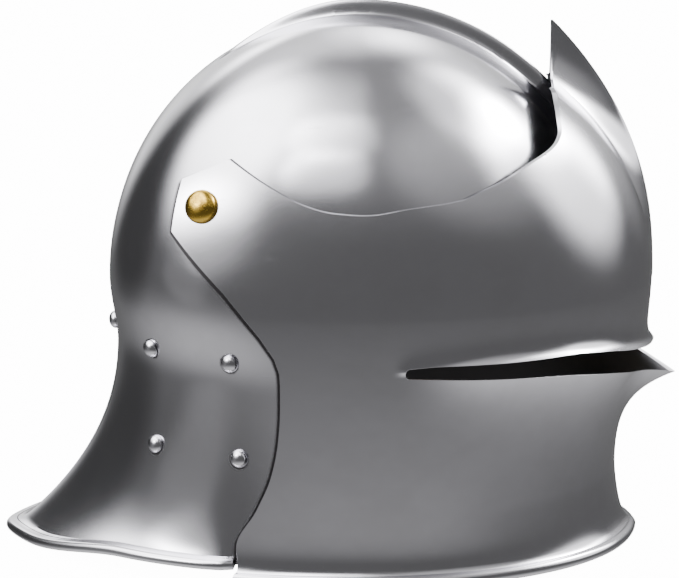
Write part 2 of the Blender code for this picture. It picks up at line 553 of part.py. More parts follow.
for word, route in (("right", right), ("left", left)):
    path = np.array([(STRAP_X, y, z) for y, z in route])
    wide = 16.0 + 0.3 * np.sin(1.3 * np.arange(len(path)))[:, None]  # cut by hand
    strap = ribbon("chin_strap_" + word, path, np.tile([1.0, 0, 0], (len(path), 1)), wide, THICK, LEATHER)
    slot_at = BAR_Y if word == "right" else -19.0
    points = [(STRAP_X + a * 1.7, slot_at + b * 5.5, c) for a in (-1, 1) for b in (-1, 1) for c in (-1.0, 15.0)]
    sides = [(0, 1, 3, 2), (4, 6, 7, 5), (0, 4, 5, 1), (2, 3, 7, 6), (0, 2, 6, 4), (1, 5, 7, 3)]
    cut(strap, solid("prong slot " + word, points, sides, STEEL))

frame = []
for sx, y in ((-1, BAR_Y), (-1, FRONT_Y), (1, FRONT_Y), (1, BAR_Y)):
    inx, iny = -sx, (1 if y == BAR_Y else -1)
    cx, cy = STRAP_X + sx * 11.5 + inx * 3.0, y + iny * 3.0
    first = np.arctan2(-iny, -inx)
    for a in np.radians([45, 15, -15, -45]):
        frame.append((cx + 3.0 * np.cos(first + a), cy + 3.0 * np.sin(first + a), BAR_Z))
wire("buckle_frame", frame, 1.3, 8, STEEL, True)
prong = [(BAR_Y + 2.5 * np.sin(a), BAR_Z - 2.5 * np.cos(a)) for a in np.radians([60, 20, -20, -60, -100, -140, -175])]
prong += [(BAR_Y + 4.0, BAR_Z + 2.5), (-19.0, BAR_Z + 2.5), (FRONT_Y, BAR_Z + 2.5), (FRONT_Y + 2.6, BAR_Z + 2.3)]
wire("buckle_prong", [(STRAP_X, y, z) for y, z in prong], 0.9, 6, STEEL, False, up=(1.0, 0.0, 0.0))
keeper_rows = []
for x, low, high in ((9.7, 0.15, LAY + 7.0), (8.5, LAY - 1.35, LAY + 5.8)):
    keeper_rows.append([(-x, low), (x, low), (x, high), (-x, high)])
ring = [(y, layer) for y, layer in ((-53.5, 0), (-46.5, 0), (-46.5, 1), (-53.5, 1))]
rows = np.array([[(STRAP_X + keeper_rows[layer][k][0], y, keeper_rows[layer][k][1]) for y, layer in ring]
                 for k in range(4)])
tube_from_rows("strap_keeper", rows, LEATHER, True, False)
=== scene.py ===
# %% [markdown]
# # A knight's visored helmet
# The helmet is a sallet: a steel bowl with a comb along its crown and a long tail over the neck,
# and a keeled visor that tilts up on two brass pivots. Every part of it was hammered from sheet and
# polished bright, so most of what the eye sees of it is what it reflects.
# Sizes are in millimetres, the frame's own units are metres, and +X is the way the helmet faces.

# %% Load the frame
import math
import bpy
import numpy as np
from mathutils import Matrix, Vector


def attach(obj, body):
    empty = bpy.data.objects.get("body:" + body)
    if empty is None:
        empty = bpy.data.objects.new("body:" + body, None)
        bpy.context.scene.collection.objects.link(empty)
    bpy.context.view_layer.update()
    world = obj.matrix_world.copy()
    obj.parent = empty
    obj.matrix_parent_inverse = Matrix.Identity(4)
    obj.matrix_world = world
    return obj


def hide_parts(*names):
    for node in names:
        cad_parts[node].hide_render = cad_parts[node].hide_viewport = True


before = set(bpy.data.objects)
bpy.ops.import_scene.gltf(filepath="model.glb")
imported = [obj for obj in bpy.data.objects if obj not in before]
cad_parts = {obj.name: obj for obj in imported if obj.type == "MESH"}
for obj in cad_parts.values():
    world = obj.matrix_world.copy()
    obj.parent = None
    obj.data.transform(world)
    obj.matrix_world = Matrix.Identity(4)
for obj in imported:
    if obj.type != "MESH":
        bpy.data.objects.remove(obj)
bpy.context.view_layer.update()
MM = 0.001

# %% [markdown]
# ## The maker's dimensions
# A few driving sizes settle both big shapes. The CAD model is drawn from the same ones, so the fine
# surfaces here lie on its coarse faces.

# %% Driving dimensions
# ---- driving dimensions, mm ----
SHEET = 1.6                      # steel thickness
CENTRE_X, EQUATOR_Z = 9.0, 134.0  # middle of the skull dome
DOME_HEIGHT = 128.0
HALF_WIDTH = 104.0
HALF_BACK, HALF_FRONT = 123.5, 124.0
TEMPLE_SQUARENESS = 0.6          # how much flatter the upper rear sides are than an ellipse
WAIST_TUCK = 14.0                # how far the sides draw in from equator to rim
TAIL_SWEEP = 52.6                # how far the tail reaches behind the nape
BROW_Z, CHEEK_X_ANGLE = 146.0, 97.0
COMB_HEIGHT, COMB_HALF = 9.5, 14.0
TAIL_ROLL, VISOR_ROLL = 2.7, 3.2  # radii of the rolled rims
VISOR_WIDTH, VISOR_FRONT, VISOR_BACK, VISOR_RISE = 110.6, 147.0, 153.0, 131.0
VISOR_SQUARENESS = 0.12
PIVOT_X, PIVOT_Z = -65.5, 185.5
FIN_EDGE_X = 105.0
KEEL_ANGLE = 5.4                 # half angle of the visor's keel, seen from above
SLIT_END_ANGLE = 78.3


def smooth(t):
    """0 up to t = 0, 1 from t = 1, and a rise between them that starts and ends level."""
    t = np.clip(t, 0.0, 1.0)
    return t * t * (3 - 2 * t)


def unit(vectors):
    return vectors / np.linalg.norm(vectors, axis=-1, keepdims=True)


def outward(turn):
    """The level direction at a turn (degrees from the front)."""
    d = np.radians(turn)
    return np.stack([np.cos(d), np.sin(d), 0 * d], axis=-1)


def squared_ellipse(turn, length, width, n):
    """Radius at a turn of an ellipse whose power is n, where 2 is a plain one."""
    d = np.radians(turn)
    return ((np.abs(np.cos(d)) / length) ** n + (np.abs(np.sin(d)) / width) ** n) ** (-1 / n)


def placed(name, data):
    """A new object in the scene."""
    made = bpy.data.objects.new(name, data)
    bpy.context.scene.collection.objects.link(made)
    return made


def curve_through(points, at):
    """A smooth curve through the given corner points that never overshoots them."""
    px, pz = np.array(points, float).T
    step = np.diff(px)
    rise = np.diff(pz) / step
    product = rise[:-1] * rise[1:]
    mid = np.where(product > 0, 2 * rise[:-1] * rise[1:] / (rise[:-1] + rise[1:] + 1e-12), 0.0)
    slope = np.concatenate([[rise[0]], mid, [rise[-1]]])
    at = np.clip(at, px[0], px[-1])
    k = np.clip(np.searchsorted(px, at) - 1, 0, len(step) - 1)
    t = (at - px[k]) / step[k]
    return ((1 + 2 * t) * (1 - t) ** 2 * pz[k] + t * (1 - t) ** 2 * step[k] * slope[k]
            + t * t * (3 - 2 * t) * pz[k + 1] + t * t * (t - 1) * step[k] * slope[k + 1])


# %% [markdown]
# ## Camera
# The helmet is seen square from its right side and a little from above, through a long lens, so the
# camera stands two metres off and needs no shift.

# %% Camera
CAMERA_AWAY, CAMERA_RISE, LENS = 2.0, 13.3, 212.0
AIM = Vector((0.0, 0.0, 0.1245))
camera = placed("camera", bpy.data.cameras.new("camera"))
rise = math.radians(CAMERA_RISE)
back = Vector((0.0, -math.cos(rise), math.sin(rise)))
camera.location = AIM + back * CAMERA_AWAY
camera.rotation_euler = (-back).to_track_quat("-Z", "Y").to_euler()
camera.data.lens, camera.data.sensor_width = LENS, 36.0
camera.data.clip_start = 0.05
bpy.context.scene.camera = camera
print("camera at", [round(v, 3) for v in camera.location])

# %% [markdown]
# ## Shader sums in Python
# This class wraps a socket, so that `0.2 + 0.1 * grain` adds Math nodes; `make` adds any other node.


# %% Shader helper
class Value:
    """A number or colour somewhere in a material; arithmetic on it adds Math nodes."""

    def __init__(self, tree, socket):
        self.tree, self.socket = tree, socket

    def make(self, kind, settings=None, out=0, **sockets):
        node = self.tree.nodes.new(kind)
        for key, value in (settings or {}).items():
            if key == "stops":
                ramp = node.color_ramp
                while len(ramp.elements) < len(value):
                    ramp.elements.new(0.5)
                for stop, (place, colour) in zip(ramp.elements, value):
                    stop.position, stop.color = place, colour
            else:
                setattr(node, key, value)
        for key, value in sockets.items():
            place = int(key[2:]) if key.startswith("in") and key[2:].isdigit() else key.replace("_", " ")
            if isinstance(value, Value):
                self.tree.links.new(value.socket, node.inputs[place])
            else:
                node.inputs[place].default_value = value
        return Value(self.tree, node.outputs[out])

    def math(self, operation, other=0.0, third=0.0):
        return self.make("ShaderNodeMath", {"operation": operation}, in0=self, in1=other, in2=third)

    def __add__(self, other):
        return self.math("ADD", other)

    def __mul__(self, other):
        return self.math("MULTIPLY", other)

    def __sub__(self, other):
        return self.math("SUBTRACT", other)

    def __rsub__(self, other):
        return self.make("ShaderNodeMath", {"operation": "SUBTRACT"}, in0=other, in1=self)

    def __pow__(self, other):
        return self.math("POWER", other)

    __radd__, __rmul__ = __add__, __mul__

    def along(self, axis):
        """One coordinate of a vector: axis 0, 1 or 2."""
        return self.make("ShaderNodeSeparateXYZ", out=axis, Vector=self)

    def between(self, low, high):
        """0 below low, 1 above high, and a smooth rise between them."""
        return self.make("ShaderNodeMapRange", {"interpolation_type": "SMOOTHSTEP"}, Value=self,
                         From_Min=low, From_Max=high)

    def noise(self, scale, detail=3.0, rough=0.5, stretch=(1.0, 1.0, 1.0)):
        """Soft noise with this many bumps to the metre; self is the coordinate."""
        place = self.make("ShaderNodeMapping", Vector=self, Scale=stretch)
        return self.make("ShaderNodeTexNoise", Vector=place, Scale=scale, Detail=detail, Roughness=rough)

    def blend(self, first, second):
        """A colour from first to second as self goes from 0 to 1."""
        return self.make("ShaderNodeMix", {"data_type": "RGBA"}, out=2, in0=self, in6=first, in7=second)

    def bump(self, strength, distance):
        return self.make("ShaderNodeBump", Height=self, Strength=strength, Distance=distance)


def finish(name, metallic=0.0, **constants):
    """A new material: its object coordinates, and a function that joins values to its shader."""
    material = bpy.data.materials.new(name)
    material.use_nodes = True
    tree = material.node_tree
    shader = tree.nodes["Principled BSDF"]
    shader.inputs["Metallic"].default_value = metallic
    for key, value in constants.items():
        shader.inputs[key.replace("_", " ")].default_value = value
    places = tree.nodes.new("ShaderNodeTexCoord")
    where, cloth = Value(tree, places.outputs["Object"]), Value(tree, places.outputs["UV"])

    def join(**values):
        for key, value in values.items():
            tree.links.new(value.socket, shader.inputs[key.replace("_", " ")])

    return material, where, cloth, join


print("shader helper ready")

# %% [markdown]
# ## Polished steel
# The steel was planished and buffed. That leaves a faint waviness, fine straight buffing lines, and
# duller patches where hands have been. The colour hardly changes: roughness and bump carry it.
# Only a painted shadow darkens it, on the bowl just below the visor's edge and round each rivet.


# %% Steel finishes
ADDED = 20.0  # mm added to the distances stored on the bowl, so that 0 means a piece without them


def polished_steel(name, tone, rough, waviness):
    """Steel of one tone and roughness; waviness is the height of its waves in mm."""
    material, where, _, join = finish(name, 1.0)
    under = where.make("ShaderNodeAttribute", {"attribute_name": "under_visor"}, out="Fac")
    beside = where.make("ShaderNodeAttribute", {"attribute_name": "from_rivet"}, out="Fac")
    on_bowl = under.between(5.0, 9.0)
    along_edge = under.between(ADDED - 1.1, ADDED + 0.4) * under.between(ADDED + 9.0, ADDED + 4.0)
    # painted shadow: a band just below the visor's edge and a ring round each rivet head, where they cast
    # shade, turn dark and dull
    painted_shadow = on_bowl * along_edge.math("MAXIMUM", beside.between(ADDED + 1.3, ADDED + 0.1) * 0.9)
    haze = where.noise(26.0, 4.0, 0.6).between(0.38, 0.68)
    lines = where.noise(900.0, 2.0, 0.6, (0.10, 0.10, 1.0))
    swirls = where.noise(2300.0, 1.0, 0.5, (1.0, 0.25, 0.25))
    scratches = where.noise(340.0, 3.0, 0.75, (0.12, 0.5, 1.0)).between(0.63, 0.72)
    waves = where.noise(34.0, 2.0, 0.45)
    dents = where.noise(95.0, 1.0, 0.4)
    bright = haze.blend((tone, tone * 0.99, tone * 1.05, 1.0), (tone * 0.94, tone * 0.93, tone * 0.98, 1.0))
    join(
        # painted shadow: the base colour goes near black in that band and in those rings
        Base_Color=painted_shadow.blend(bright, (tone * 0.08, tone * 0.075, tone * 0.08, 1.0)),
        Roughness=rough + 0.035 * haze + 0.035 * lines + 0.05 * scratches + 0.3 * painted_shadow,
        Normal=(waves * waviness + dents * (waviness * 0.12) + lines * 0.0022 + swirls * 0.0012
                - scratches * 0.004).bump(1.0, MM),
    )
    return material


STEEL = polished_steel("polished steel", 0.72, 0.13, 0.10)
RIVET_STEEL = polished_steel("rivet steel", 0.66, 0.16, 0.02)
DARK_STEEL = polished_steel("inner steel", 0.13, 0.42, 0.10)
print("steel finishes made")

# %% [markdown]
# ## Brass, leather, linen and flax
# Brass browns in its hollows. Leather is a closed grain with worn edges. Linen is a plain weave: two
# crossed waves on the cloth's own coordinates, in metres. Flax cord shows the lay of its strands.


# %% Other finishes
def brass_finish():
    material, where, _, join = finish("brass", 1.0)
    tarnish = where.noise(160.0, 5.0, 0.65).between(0.42, 0.74)
    pits = where.noise(900.0, 3.0, 0.6).between(0.60, 0.72)
    join(
        Base_Color=tarnish.blend((0.66, 0.43, 0.075, 1.0), (0.17, 0.09, 0.012, 1.0)),
        Roughness=0.17 + 0.22 * tarnish + 0.2 * pits,
        Normal=(where.noise(120.0, 2.0, 0.5) * 0.25 - pits * 0.03).bump(0.6, MM),
    )
    return material


STITCH_INSET, STITCH_PITCH = 1.5, 2 * math.pi / 2.1  # mm from the edge, and mm from stitch to stitch


def leather_finish():
    material, where, cloth, join = finish("waxed leather", 0.0, Specular_IOR_Level=0.45)
    along = cloth.along(0) * (1 / MM)
    inset = cloth.along(1) * (1 / MM)
    grain = where.make("ShaderNodeTexVoronoi", {"feature": "DISTANCE_TO_EDGE"}, Vector=where, Scale=900.0)
    patches = where.noise(40.0, 4.0, 0.6)
    worn = where.noise(220.0, 3.0, 0.6).between(0.55, 0.75)
    in_row = (inset - STITCH_INSET).math("ABSOLUTE").between(0.42, 0.22)
    stitch = in_row * (along * (2 * math.pi / STITCH_PITCH)).math("SINE").between(-0.35, -0.05)
    rim = inset.between(1.0, 0.0)
    tint = patches.between(0.35, 0.65).blend((0.115, 0.050, 0.022, 1.0), (0.21, 0.10, 0.045, 1.0))
    tint = (worn * 0.5).blend(tint, (0.32, 0.19, 0.10, 1.0))
    tint = (rim * 0.7).blend(tint, (0.05, 0.022, 0.012, 1.0))
    join(
        Base_Color=stitch.blend(tint, (0.62, 0.52, 0.36, 1.0)),
        Roughness=0.48 + 0.2 * patches + 0.15 * stitch,
        Normal=(grain.between(0.0, 0.12) * 0.08 + patches * 0.3 + stitch * 0.25).bump(0.7, MM),
    )
    return material


WEAVE_PITCH, LAY_PITCH = 1.1, 3.2  # mm from thread to thread, and from strand to strand


def linen_finish():
    material, where, cloth, join = finish("linen canvas", 0.0, Sheen_Weight=0.25, Specular_IOR_Level=0.2)
    warp, weft = ((cloth.along(k) * (math.pi / (WEAVE_PITCH * MM))).math("SINE") for k in (0, 1))
    over = (warp * weft).between(-0.2, 0.2)
    threads = warp.math("ABSOLUTE") * over + weft.math("ABSOLUTE") * (1 - over)
    slubs = where.noise(500.0, 2.0, 0.6, (0.2, 1.0, 1.0))
    stains = where.noise(18.0, 4.0, 0.6).between(0.4, 0.7)
    shade = threads.blend((0.30, 0.25, 0.17, 1.0), (0.66, 0.58, 0.43, 1.0))
    join(
        Base_Color=(stains * 0.4).blend(shade, (0.45, 0.36, 0.23, 1.0)),
        Roughness=0.78 + 0.15 * slubs,
        Normal=(threads * 0.35 + slubs * 0.2).bump(0.8, MM),
    )
    return material


def cord_finish():
    material, where, cloth, join = finish("flax cord", 0.0, Sheen_Weight=0.2)
    along = cloth.along(0)
    around = cloth.along(1)
    lay = (along * (2 * math.pi / (LAY_PITCH * MM)) + around * (6 * math.pi)).math("SINE").between(-0.9, 0.6)
    join(
        Base_Color=lay.blend((0.24, 0.18, 0.10, 1.0), (0.62, 0.53, 0.36, 1.0)),
        Roughness=0.75 + 0.15 * where.noise(800.0),
        Normal=(lay * 0.3).bump(0.9, MM),
    )
    return material


BRASS, LEATHER, LINEN, CORD = brass_finish(), leather_finish(), linen_finish(), cord_finish()
print("brass, leather, linen and cord made")

# %% [markdown]
# ## From grids of points to closed sheets
# Sheet metal, cloth and leather all have two faces a thickness apart. Each is a grid of points, and
# the wall that closes them runs along every edge that only one cell uses.


# %% Mesh helpers
def piece_of(name, points, quads, tris, finishes, cloth=None, sharp=35.0, caps=(), inside=None):
    """An object from points in mm, its faces turned outwards; inside marks those with the second finish."""
    used, at = np.unique(np.concatenate([quads.ravel(), tris.ravel()]), return_inverse=True)
    points = points[used] * MM
    quads, tris = at[:quads.size].reshape(-1, 4), at[quads.size:].reshape(-1, 3)
    three = np.concatenate([quads[:, :3], quads[:, [0, 2, 3]], tris])
    caps = [list(cap) for cap in caps]
    if np.linalg.det(points[three] - points.mean(0)).sum() < 0:
        quads, tris, caps = quads[:, ::-1], tris[:, ::-1], [cap[::-1] for cap in caps]
    mesh = bpy.data.meshes.new(name)
    mesh.from_pydata(points.tolist(), [], quads.tolist() + tris.tolist() + caps)
    if cloth is not None:
        loops = np.empty(len(mesh.loops), np.int64)
        mesh.loops.foreach_get("vertex_index", loops)
        mesh.uv_layers.new(name="cloth").data.foreach_set("uv", (cloth[used][loops] * MM).ravel())
    for paint in finishes:
        mesh.materials.append(paint)
    if inside is not None:
        mesh.polygons.foreach_set("material_index", inside.astype(np.int32))
    mesh.shade_smooth()
    mesh.set_sharp_from_angle(angle=math.radians(sharp))
    return placed(name, mesh)


def numbered(points):
    """The numbers of a grid's points, row by row."""
    return np.arange(points[..., 0].size).reshape(points.shape[:2])


def cells(ids):
    """The four-cornered and three-cornered cells of a grid of point numbers."""
    quads = np.stack([ids[:-1, :-1], ids[:-1, 1:], ids[1:, 1:], ids[1:, :-1]], -1).reshape(-1, 4)
    first, last = quads[:, 0] == quads[:, 1], quads[:, 2] == quads[:, 3]
    return quads[~(first | last)], np.concatenate([quads[first][:, [0, 2, 3]], quads[last & ~first][:, :3]])


def closed_sheet(name, outer, inner, finishes, ids=None, drop_row=None, cloth=None, sharp=32.0):
    """Outer and inner grids joined by a wall along every edge that only one cell uses."""
    ids = numbered(outer) if ids is None else ids
    count = int(ids.max()) + 1
    points, flat = np.zeros((2 * count, 3)), np.zeros((2 * count, 2))
    points[ids.ravel()] = outer.reshape(-1, 3)
    points[ids.ravel() + count] = inner.reshape(-1, 3)
    if cloth is not None:
        flat[ids.ravel()] = flat[ids.ravel() + count] = cloth.reshape(-1, 2)
    if drop_row is None:
        quads, tris = cells(ids)
    else:
        (quads, tris), (more, few) = cells(ids[:drop_row + 1]), cells(ids[drop_row + 1:])
        quads, tris = np.concatenate([quads, more]), np.concatenate([tris, few])
    pairs = np.concatenate([quads[:, [k, (k + 1) % 4]] for k in range(4)]
                           + [tris[:, [k, (k + 1) % 3]] for k in range(3)])
    size = 2 * count
    free = pairs[~np.isin(pairs[:, 1] * size + pairs[:, 0], pairs[:, 0] * size + pairs[:, 1])]
    walls = np.stack([free[:, 1], free[:, 0], free[:, 0] + count, free[:, 1] + count], 1)
    inside = np.zeros(2 * len(quads) + len(walls) + 2 * len(tris), bool)
    inside[len(quads):2 * len(quads)] = inside[len(inside) - len(tris):] = len(finishes) > 1
    quads = np.concatenate([quads, (quads + count)[:, ::-1], walls])
    tris = np.concatenate([tris, (tris + count)[:, ::-1]])
    flat = None if cloth is None else flat
    return piece_of(name, points, quads, tris, finishes, flat, sharp, (), inside)


def swept(name, rows, finish_of, closed=True, cloth=None, sharp=40.0):
    """A body from cross-sections: rows[i, k] is corner k of section i; open ends are closed flat."""
    n, m = rows.shape[:2]
    i, k = np.meshgrid(np.arange(n if closed else n - 1), np.arange(m), indexing="ij")
    here, there, more = i * m, (i + 1) % n * m, (k + 1) % m
    quads = np.stack([here + k, here + more, there + more, there + k], -1).reshape(-1, 4)
    caps = () if closed else (range(m - 1, -1, -1), range((n - 1) * m, n * m))
    flat, tris = None if cloth is None else cloth.reshape(-1, 2), np.zeros((0, 3), int)
    return piece_of(name, rows.reshape(-1, 3), quads, tris, [finish_of], flat, sharp, caps)


def turned(name, profile, at, along, finish_of, square_to=None, square_above=1e9, sides=64):
    """A round piece from (radius, height) pairs, closed on its axis; its top may sit square to a slope."""
    profile = np.array(profile, float)
    a = np.linspace(0, 2 * np.pi, sides + 1)
    flat = np.stack([profile[:, :1] * np.cos(a), profile[:, :1] * np.sin(a), profile[:, 1:] + 0 * a], -1)
    spin = np.array(Vector(along).normalized().to_track_quat("Z", "Y").to_matrix())
    points = flat @ spin.T
    if square_to is not None:
        tilt = np.array(Vector(square_to).normalized().to_track_quat("Z", "Y").to_matrix())
        points = np.where(profile[:, 1, None, None] >= square_above, flat @ tilt.T, points)
    ids = numbered(points)
    ids[:, -1] = ids[:, 0]
    ids[0], ids[-1] = ids[0, 0], ids[-1, 0]
    quads, tris = cells(ids)
    return piece_of(name, (points + np.array(at)).reshape(-1, 3), quads, tris, [finish_of])


def settle(piece, body, slot, *nodes):
    """Says what a finished piece rides on and which CAD nodes it stands for; slot is not used."""
    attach(piece, body)
    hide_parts(*nodes)
    return len(piece.data.polygons)


print("mesh helper ready")

# %% [markdown]
# ## The skull
# The bowl is half an ellipsoid, slightly squared at the temples so that the visor can swing past it.
# Below its widest line the back sweeps out into the tail. It is worked out in two parameters: the
# turn round from the front, and the drop from the crown. The comb is a raised fold along the middle,
# and the rim of the tail is rolled over a wire.


# %% Skull surface
def skull_edge_z(turn):
    """Height of the skull's edge at each turn (degrees from the front)."""
    turn = np.abs(turn)
    tail = TAIL_ROLL + 0.1 + 6.0 * smooth((171.0 - turn) / 22.0)
    return tail + (BROW_Z - tail) * smooth((CHEEK_X_ANGLE + 1 - turn) / 16.0)


def skull_wall(turn, drop):
    """Outer face of the plain skull, without its comb: turn in degrees, drop from the crown in radians."""
    d = np.radians(turn)
    s = np.sin(np.clip(drop, 1e-5, np.pi / 2))
    z = np.where(drop < np.pi / 2, EQUATOR_Z + DOME_HEIGHT * np.cos(drop),
                 EQUATOR_Z - DOME_HEIGHT * (drop - np.pi / 2))
    low = np.clip(EQUATOR_Z - z, 0, None)
    q = low / 126.0
    width = HALF_WIDTH * s - 1.15 * WAIST_TUCK * q * q / (q + 0.15)
    length = np.where(np.cos(d) < 0, HALF_BACK * s - 3.5 * smooth(low / 34.0), HALF_FRONT * s)
    n = 2 + TEMPLE_SQUARENESS * smooth((np.abs(turn) - 75.0) / 40.0) * smooth((z - 95.0) / 60.0)
    r = squared_ellipse(turn, length, width, n)
    behind = 180.0 - np.abs(turn)
    r = r + (TAIL_SWEEP * np.exp(-(np.sqrt(behind ** 2 + 4) - 2) / 42.0) * smooth((84.0 - behind) / 36.0)
             * np.clip((105.0 - z) / 103.0, 0, 1) ** 2.3)
    rim = 2.4 * smooth((np.abs(turn) - 123.5) / 3.0)
    r = r + rim * np.exp(-np.clip(z - skull_edge_z(turn), 0, 80) / 5.0)
    return np.stack([CENTRE_X + r * np.cos(d), r * np.sin(d), z + 0 * r], axis=-1)


def drop_at(z):
    """The drop angle that reaches height z."""
    up = np.clip((z - EQUATOR_Z) / DOME_HEIGHT, 0, 1)
    return np.where(z > EQUATOR_Z, np.arccos(up), np.pi / 2 + (EQUATOR_Z - z) / DOME_HEIGHT)


def wall_normal(wall, turn, drop):
    """The way a wall faces, from the cross product of two short steps on it, down and across."""
    e, f = 0.05, 1e-3
    drop = np.maximum(drop, 0.03)
    across = wall(turn + e, drop) - wall(turn - e, drop)
    down = wall(turn, drop + f) - wall(turn, drop - f)
    return unit(np.cross(down, across))


def comb_lift(turn, drop):
    """How far the comb raises the skull, and which way: away from the dome's middle, in the keel's plane."""
    p = skull_wall(turn, drop)
    q = np.clip(np.sqrt(p[..., 1] ** 2 + 0.6) / COMB_HALF, 0, 1)
    along = smooth((p[..., 0] + 74.0) / 82.0) * smooth((p[..., 2] - BROW_Z) / 34.0)
    lift = COMB_HEIGHT * along * (0.62 * (1 - smooth((q - 0.055) * 5.0)) + 0.38 * (1 - q) ** 2)
    x = (p[..., 0] - CENTRE_X) / HALF_FRONT ** 2
    z = np.clip(p[..., 2] - EQUATOR_Z, 0, None) / DOME_HEIGHT ** 2
    size = np.sqrt(x * x + z * z) + 1e-9
    return lift[..., None] * np.stack([x / size, 0 * x, z / size], axis=-1)


def inside_skull(turn, z, depth):
    """A point the given depth inside the skull's outer face."""
    drop = drop_at(z)
    return skull_wall(turn, drop) - depth * wall_normal(skull_wall, turn, drop)


print("skull half width at the equator:", round(float(skull_wall(np.array(90.0), np.array(np.pi / 2))[1]), 1))


# %% Skull piece
def spread(points, counts):
    """Values that run through the given points with this many equal steps in each gap."""
    parts = [np.linspace(a, b, n, endpoint=False) for a, b, n in zip(points[:-1], points[1:], counts)]
    return np.concatenate(parts + [[points[-1]]])


def make_skull():
    """Rows run from the crown down to the edge, over the comb, and then round the rolled rim."""
    half_turn = spread([0, 2.4, 8, 20, 80, 100, 123.6, 124.0, 165, 173, 177.6, 180],
                       [12, 12, 12, 40, 16, 20, 1, 38, 12, 12, 12])
    turns = np.concatenate([half_turn, -half_turn[-2::-1]])
    edge = skull_edge_z(turns)
    roll = np.where(np.abs(turns) > 123.8, TAIL_ROLL, 0.82)
    last = drop_at(edge + roll + 0.8)
    share = spread([0, 0.036, 0.2, 0.92, 1], [32, 26, 77, 17])
    drops = share[:, None] * last[None, :]
    around = turns[None, :] + 0 * drops
    outer = skull_wall(around, drops)
    normal = wall_normal(skull_wall, around, drops)
    normal[0] = (0, 0, 1)
    lift = comb_lift(around, drops)
    inner = outer - SHEET * normal + 0.8 * lift
    outer = outer + lift
    rim = skull_wall(turns, drop_at(edge))
    away = unit(wall_normal(skull_wall, turns, drop_at(edge + 9.0)) * np.array([1, 1, 0]))
    centre = rim + away * (roll - SHEET)[:, None]
    up = np.array([0, 0, 1.0])
    phi = np.radians(np.linspace(105, -115, 15))[:, None, None]
    bead = centre + roll[:, None] * (np.cos(phi) * away + np.sin(phi) * up)
    within = rim - SHEET * away + up * ((roll + 0.6)[None, :, None] * np.linspace(0.95, 0, 15)[:, None, None])
    outer, inner = np.concatenate([outer, bead]), np.concatenate([inner, within])
    ids = numbered(outer)
    ids[:, -1] = ids[:, 0]
    ids[0, :] = ids[0, 0]
    return closed_sheet("skull_bowl", outer, inner, [STEEL, DARK_STEEL], ids)


skull_bowl = make_skull()
print("skull faces:", settle(skull_bowl, "helmet", "steel", "skull"))

# %% [markdown]
# ## The visor
# The visor is a wider shell round the same centre. Its upper part carries a folded keel that grows
# into a fin, its lower part is drawn in and then thrown forward into a beak, and the sight is the
# open slot between the two. Its surface is worked out in turn and height. A patch of rows below the
# sight and one above it share their points behind the end of the slot.

# %% Visor surface
LIP_UPPER = [(0, 100.0), (6, 100.8), (18.7, 104.8), (30, 109.4), (39.5, 111.6), (70, 111.7), (78.3, 110.7)]
LIP_LOWER = [(0, 82.0), (4, 85.2), (9, 88.5), (14, 90.6), (23, 94.8), (39.5, 100.6), (55, 103.2),
             (70, 105.0), (78.3, 105.8)]
REAR_TURN, REAR_Z, LOBE_TURN, LOBE_Z = 109.4, 102.0, 127.2, 207.5  # rear edge by the sight; top of the lobe
TOP_EDGE = [(12, 229.5), (17, 225.5), (22, 219.5), (26, 213.0), (31, 208.2), (40, 203.0), (49, 197.0),
            (56, 193.0), (62, 189.5), (77, 186.5), (88, 184.0), (97, 185.0), (105.0, 188.5),
            (113.3, 195.0), (LOBE_TURN, LOBE_Z)]
REAR_LOW = [(3.0, 121.5), (18, 122.2), (38, 116.6), (55, 112.6), (72, 110.5), (89, 109.6),
            (REAR_Z, REAR_TURN)]
REAR_HIGH = [(REAR_Z, REAR_TURN), (108, 109.5), (115, 110.6), (125, 113.8), (138.6, 119.2), (146, 122.3),
             (173, 136.0), (197, 137.2)]


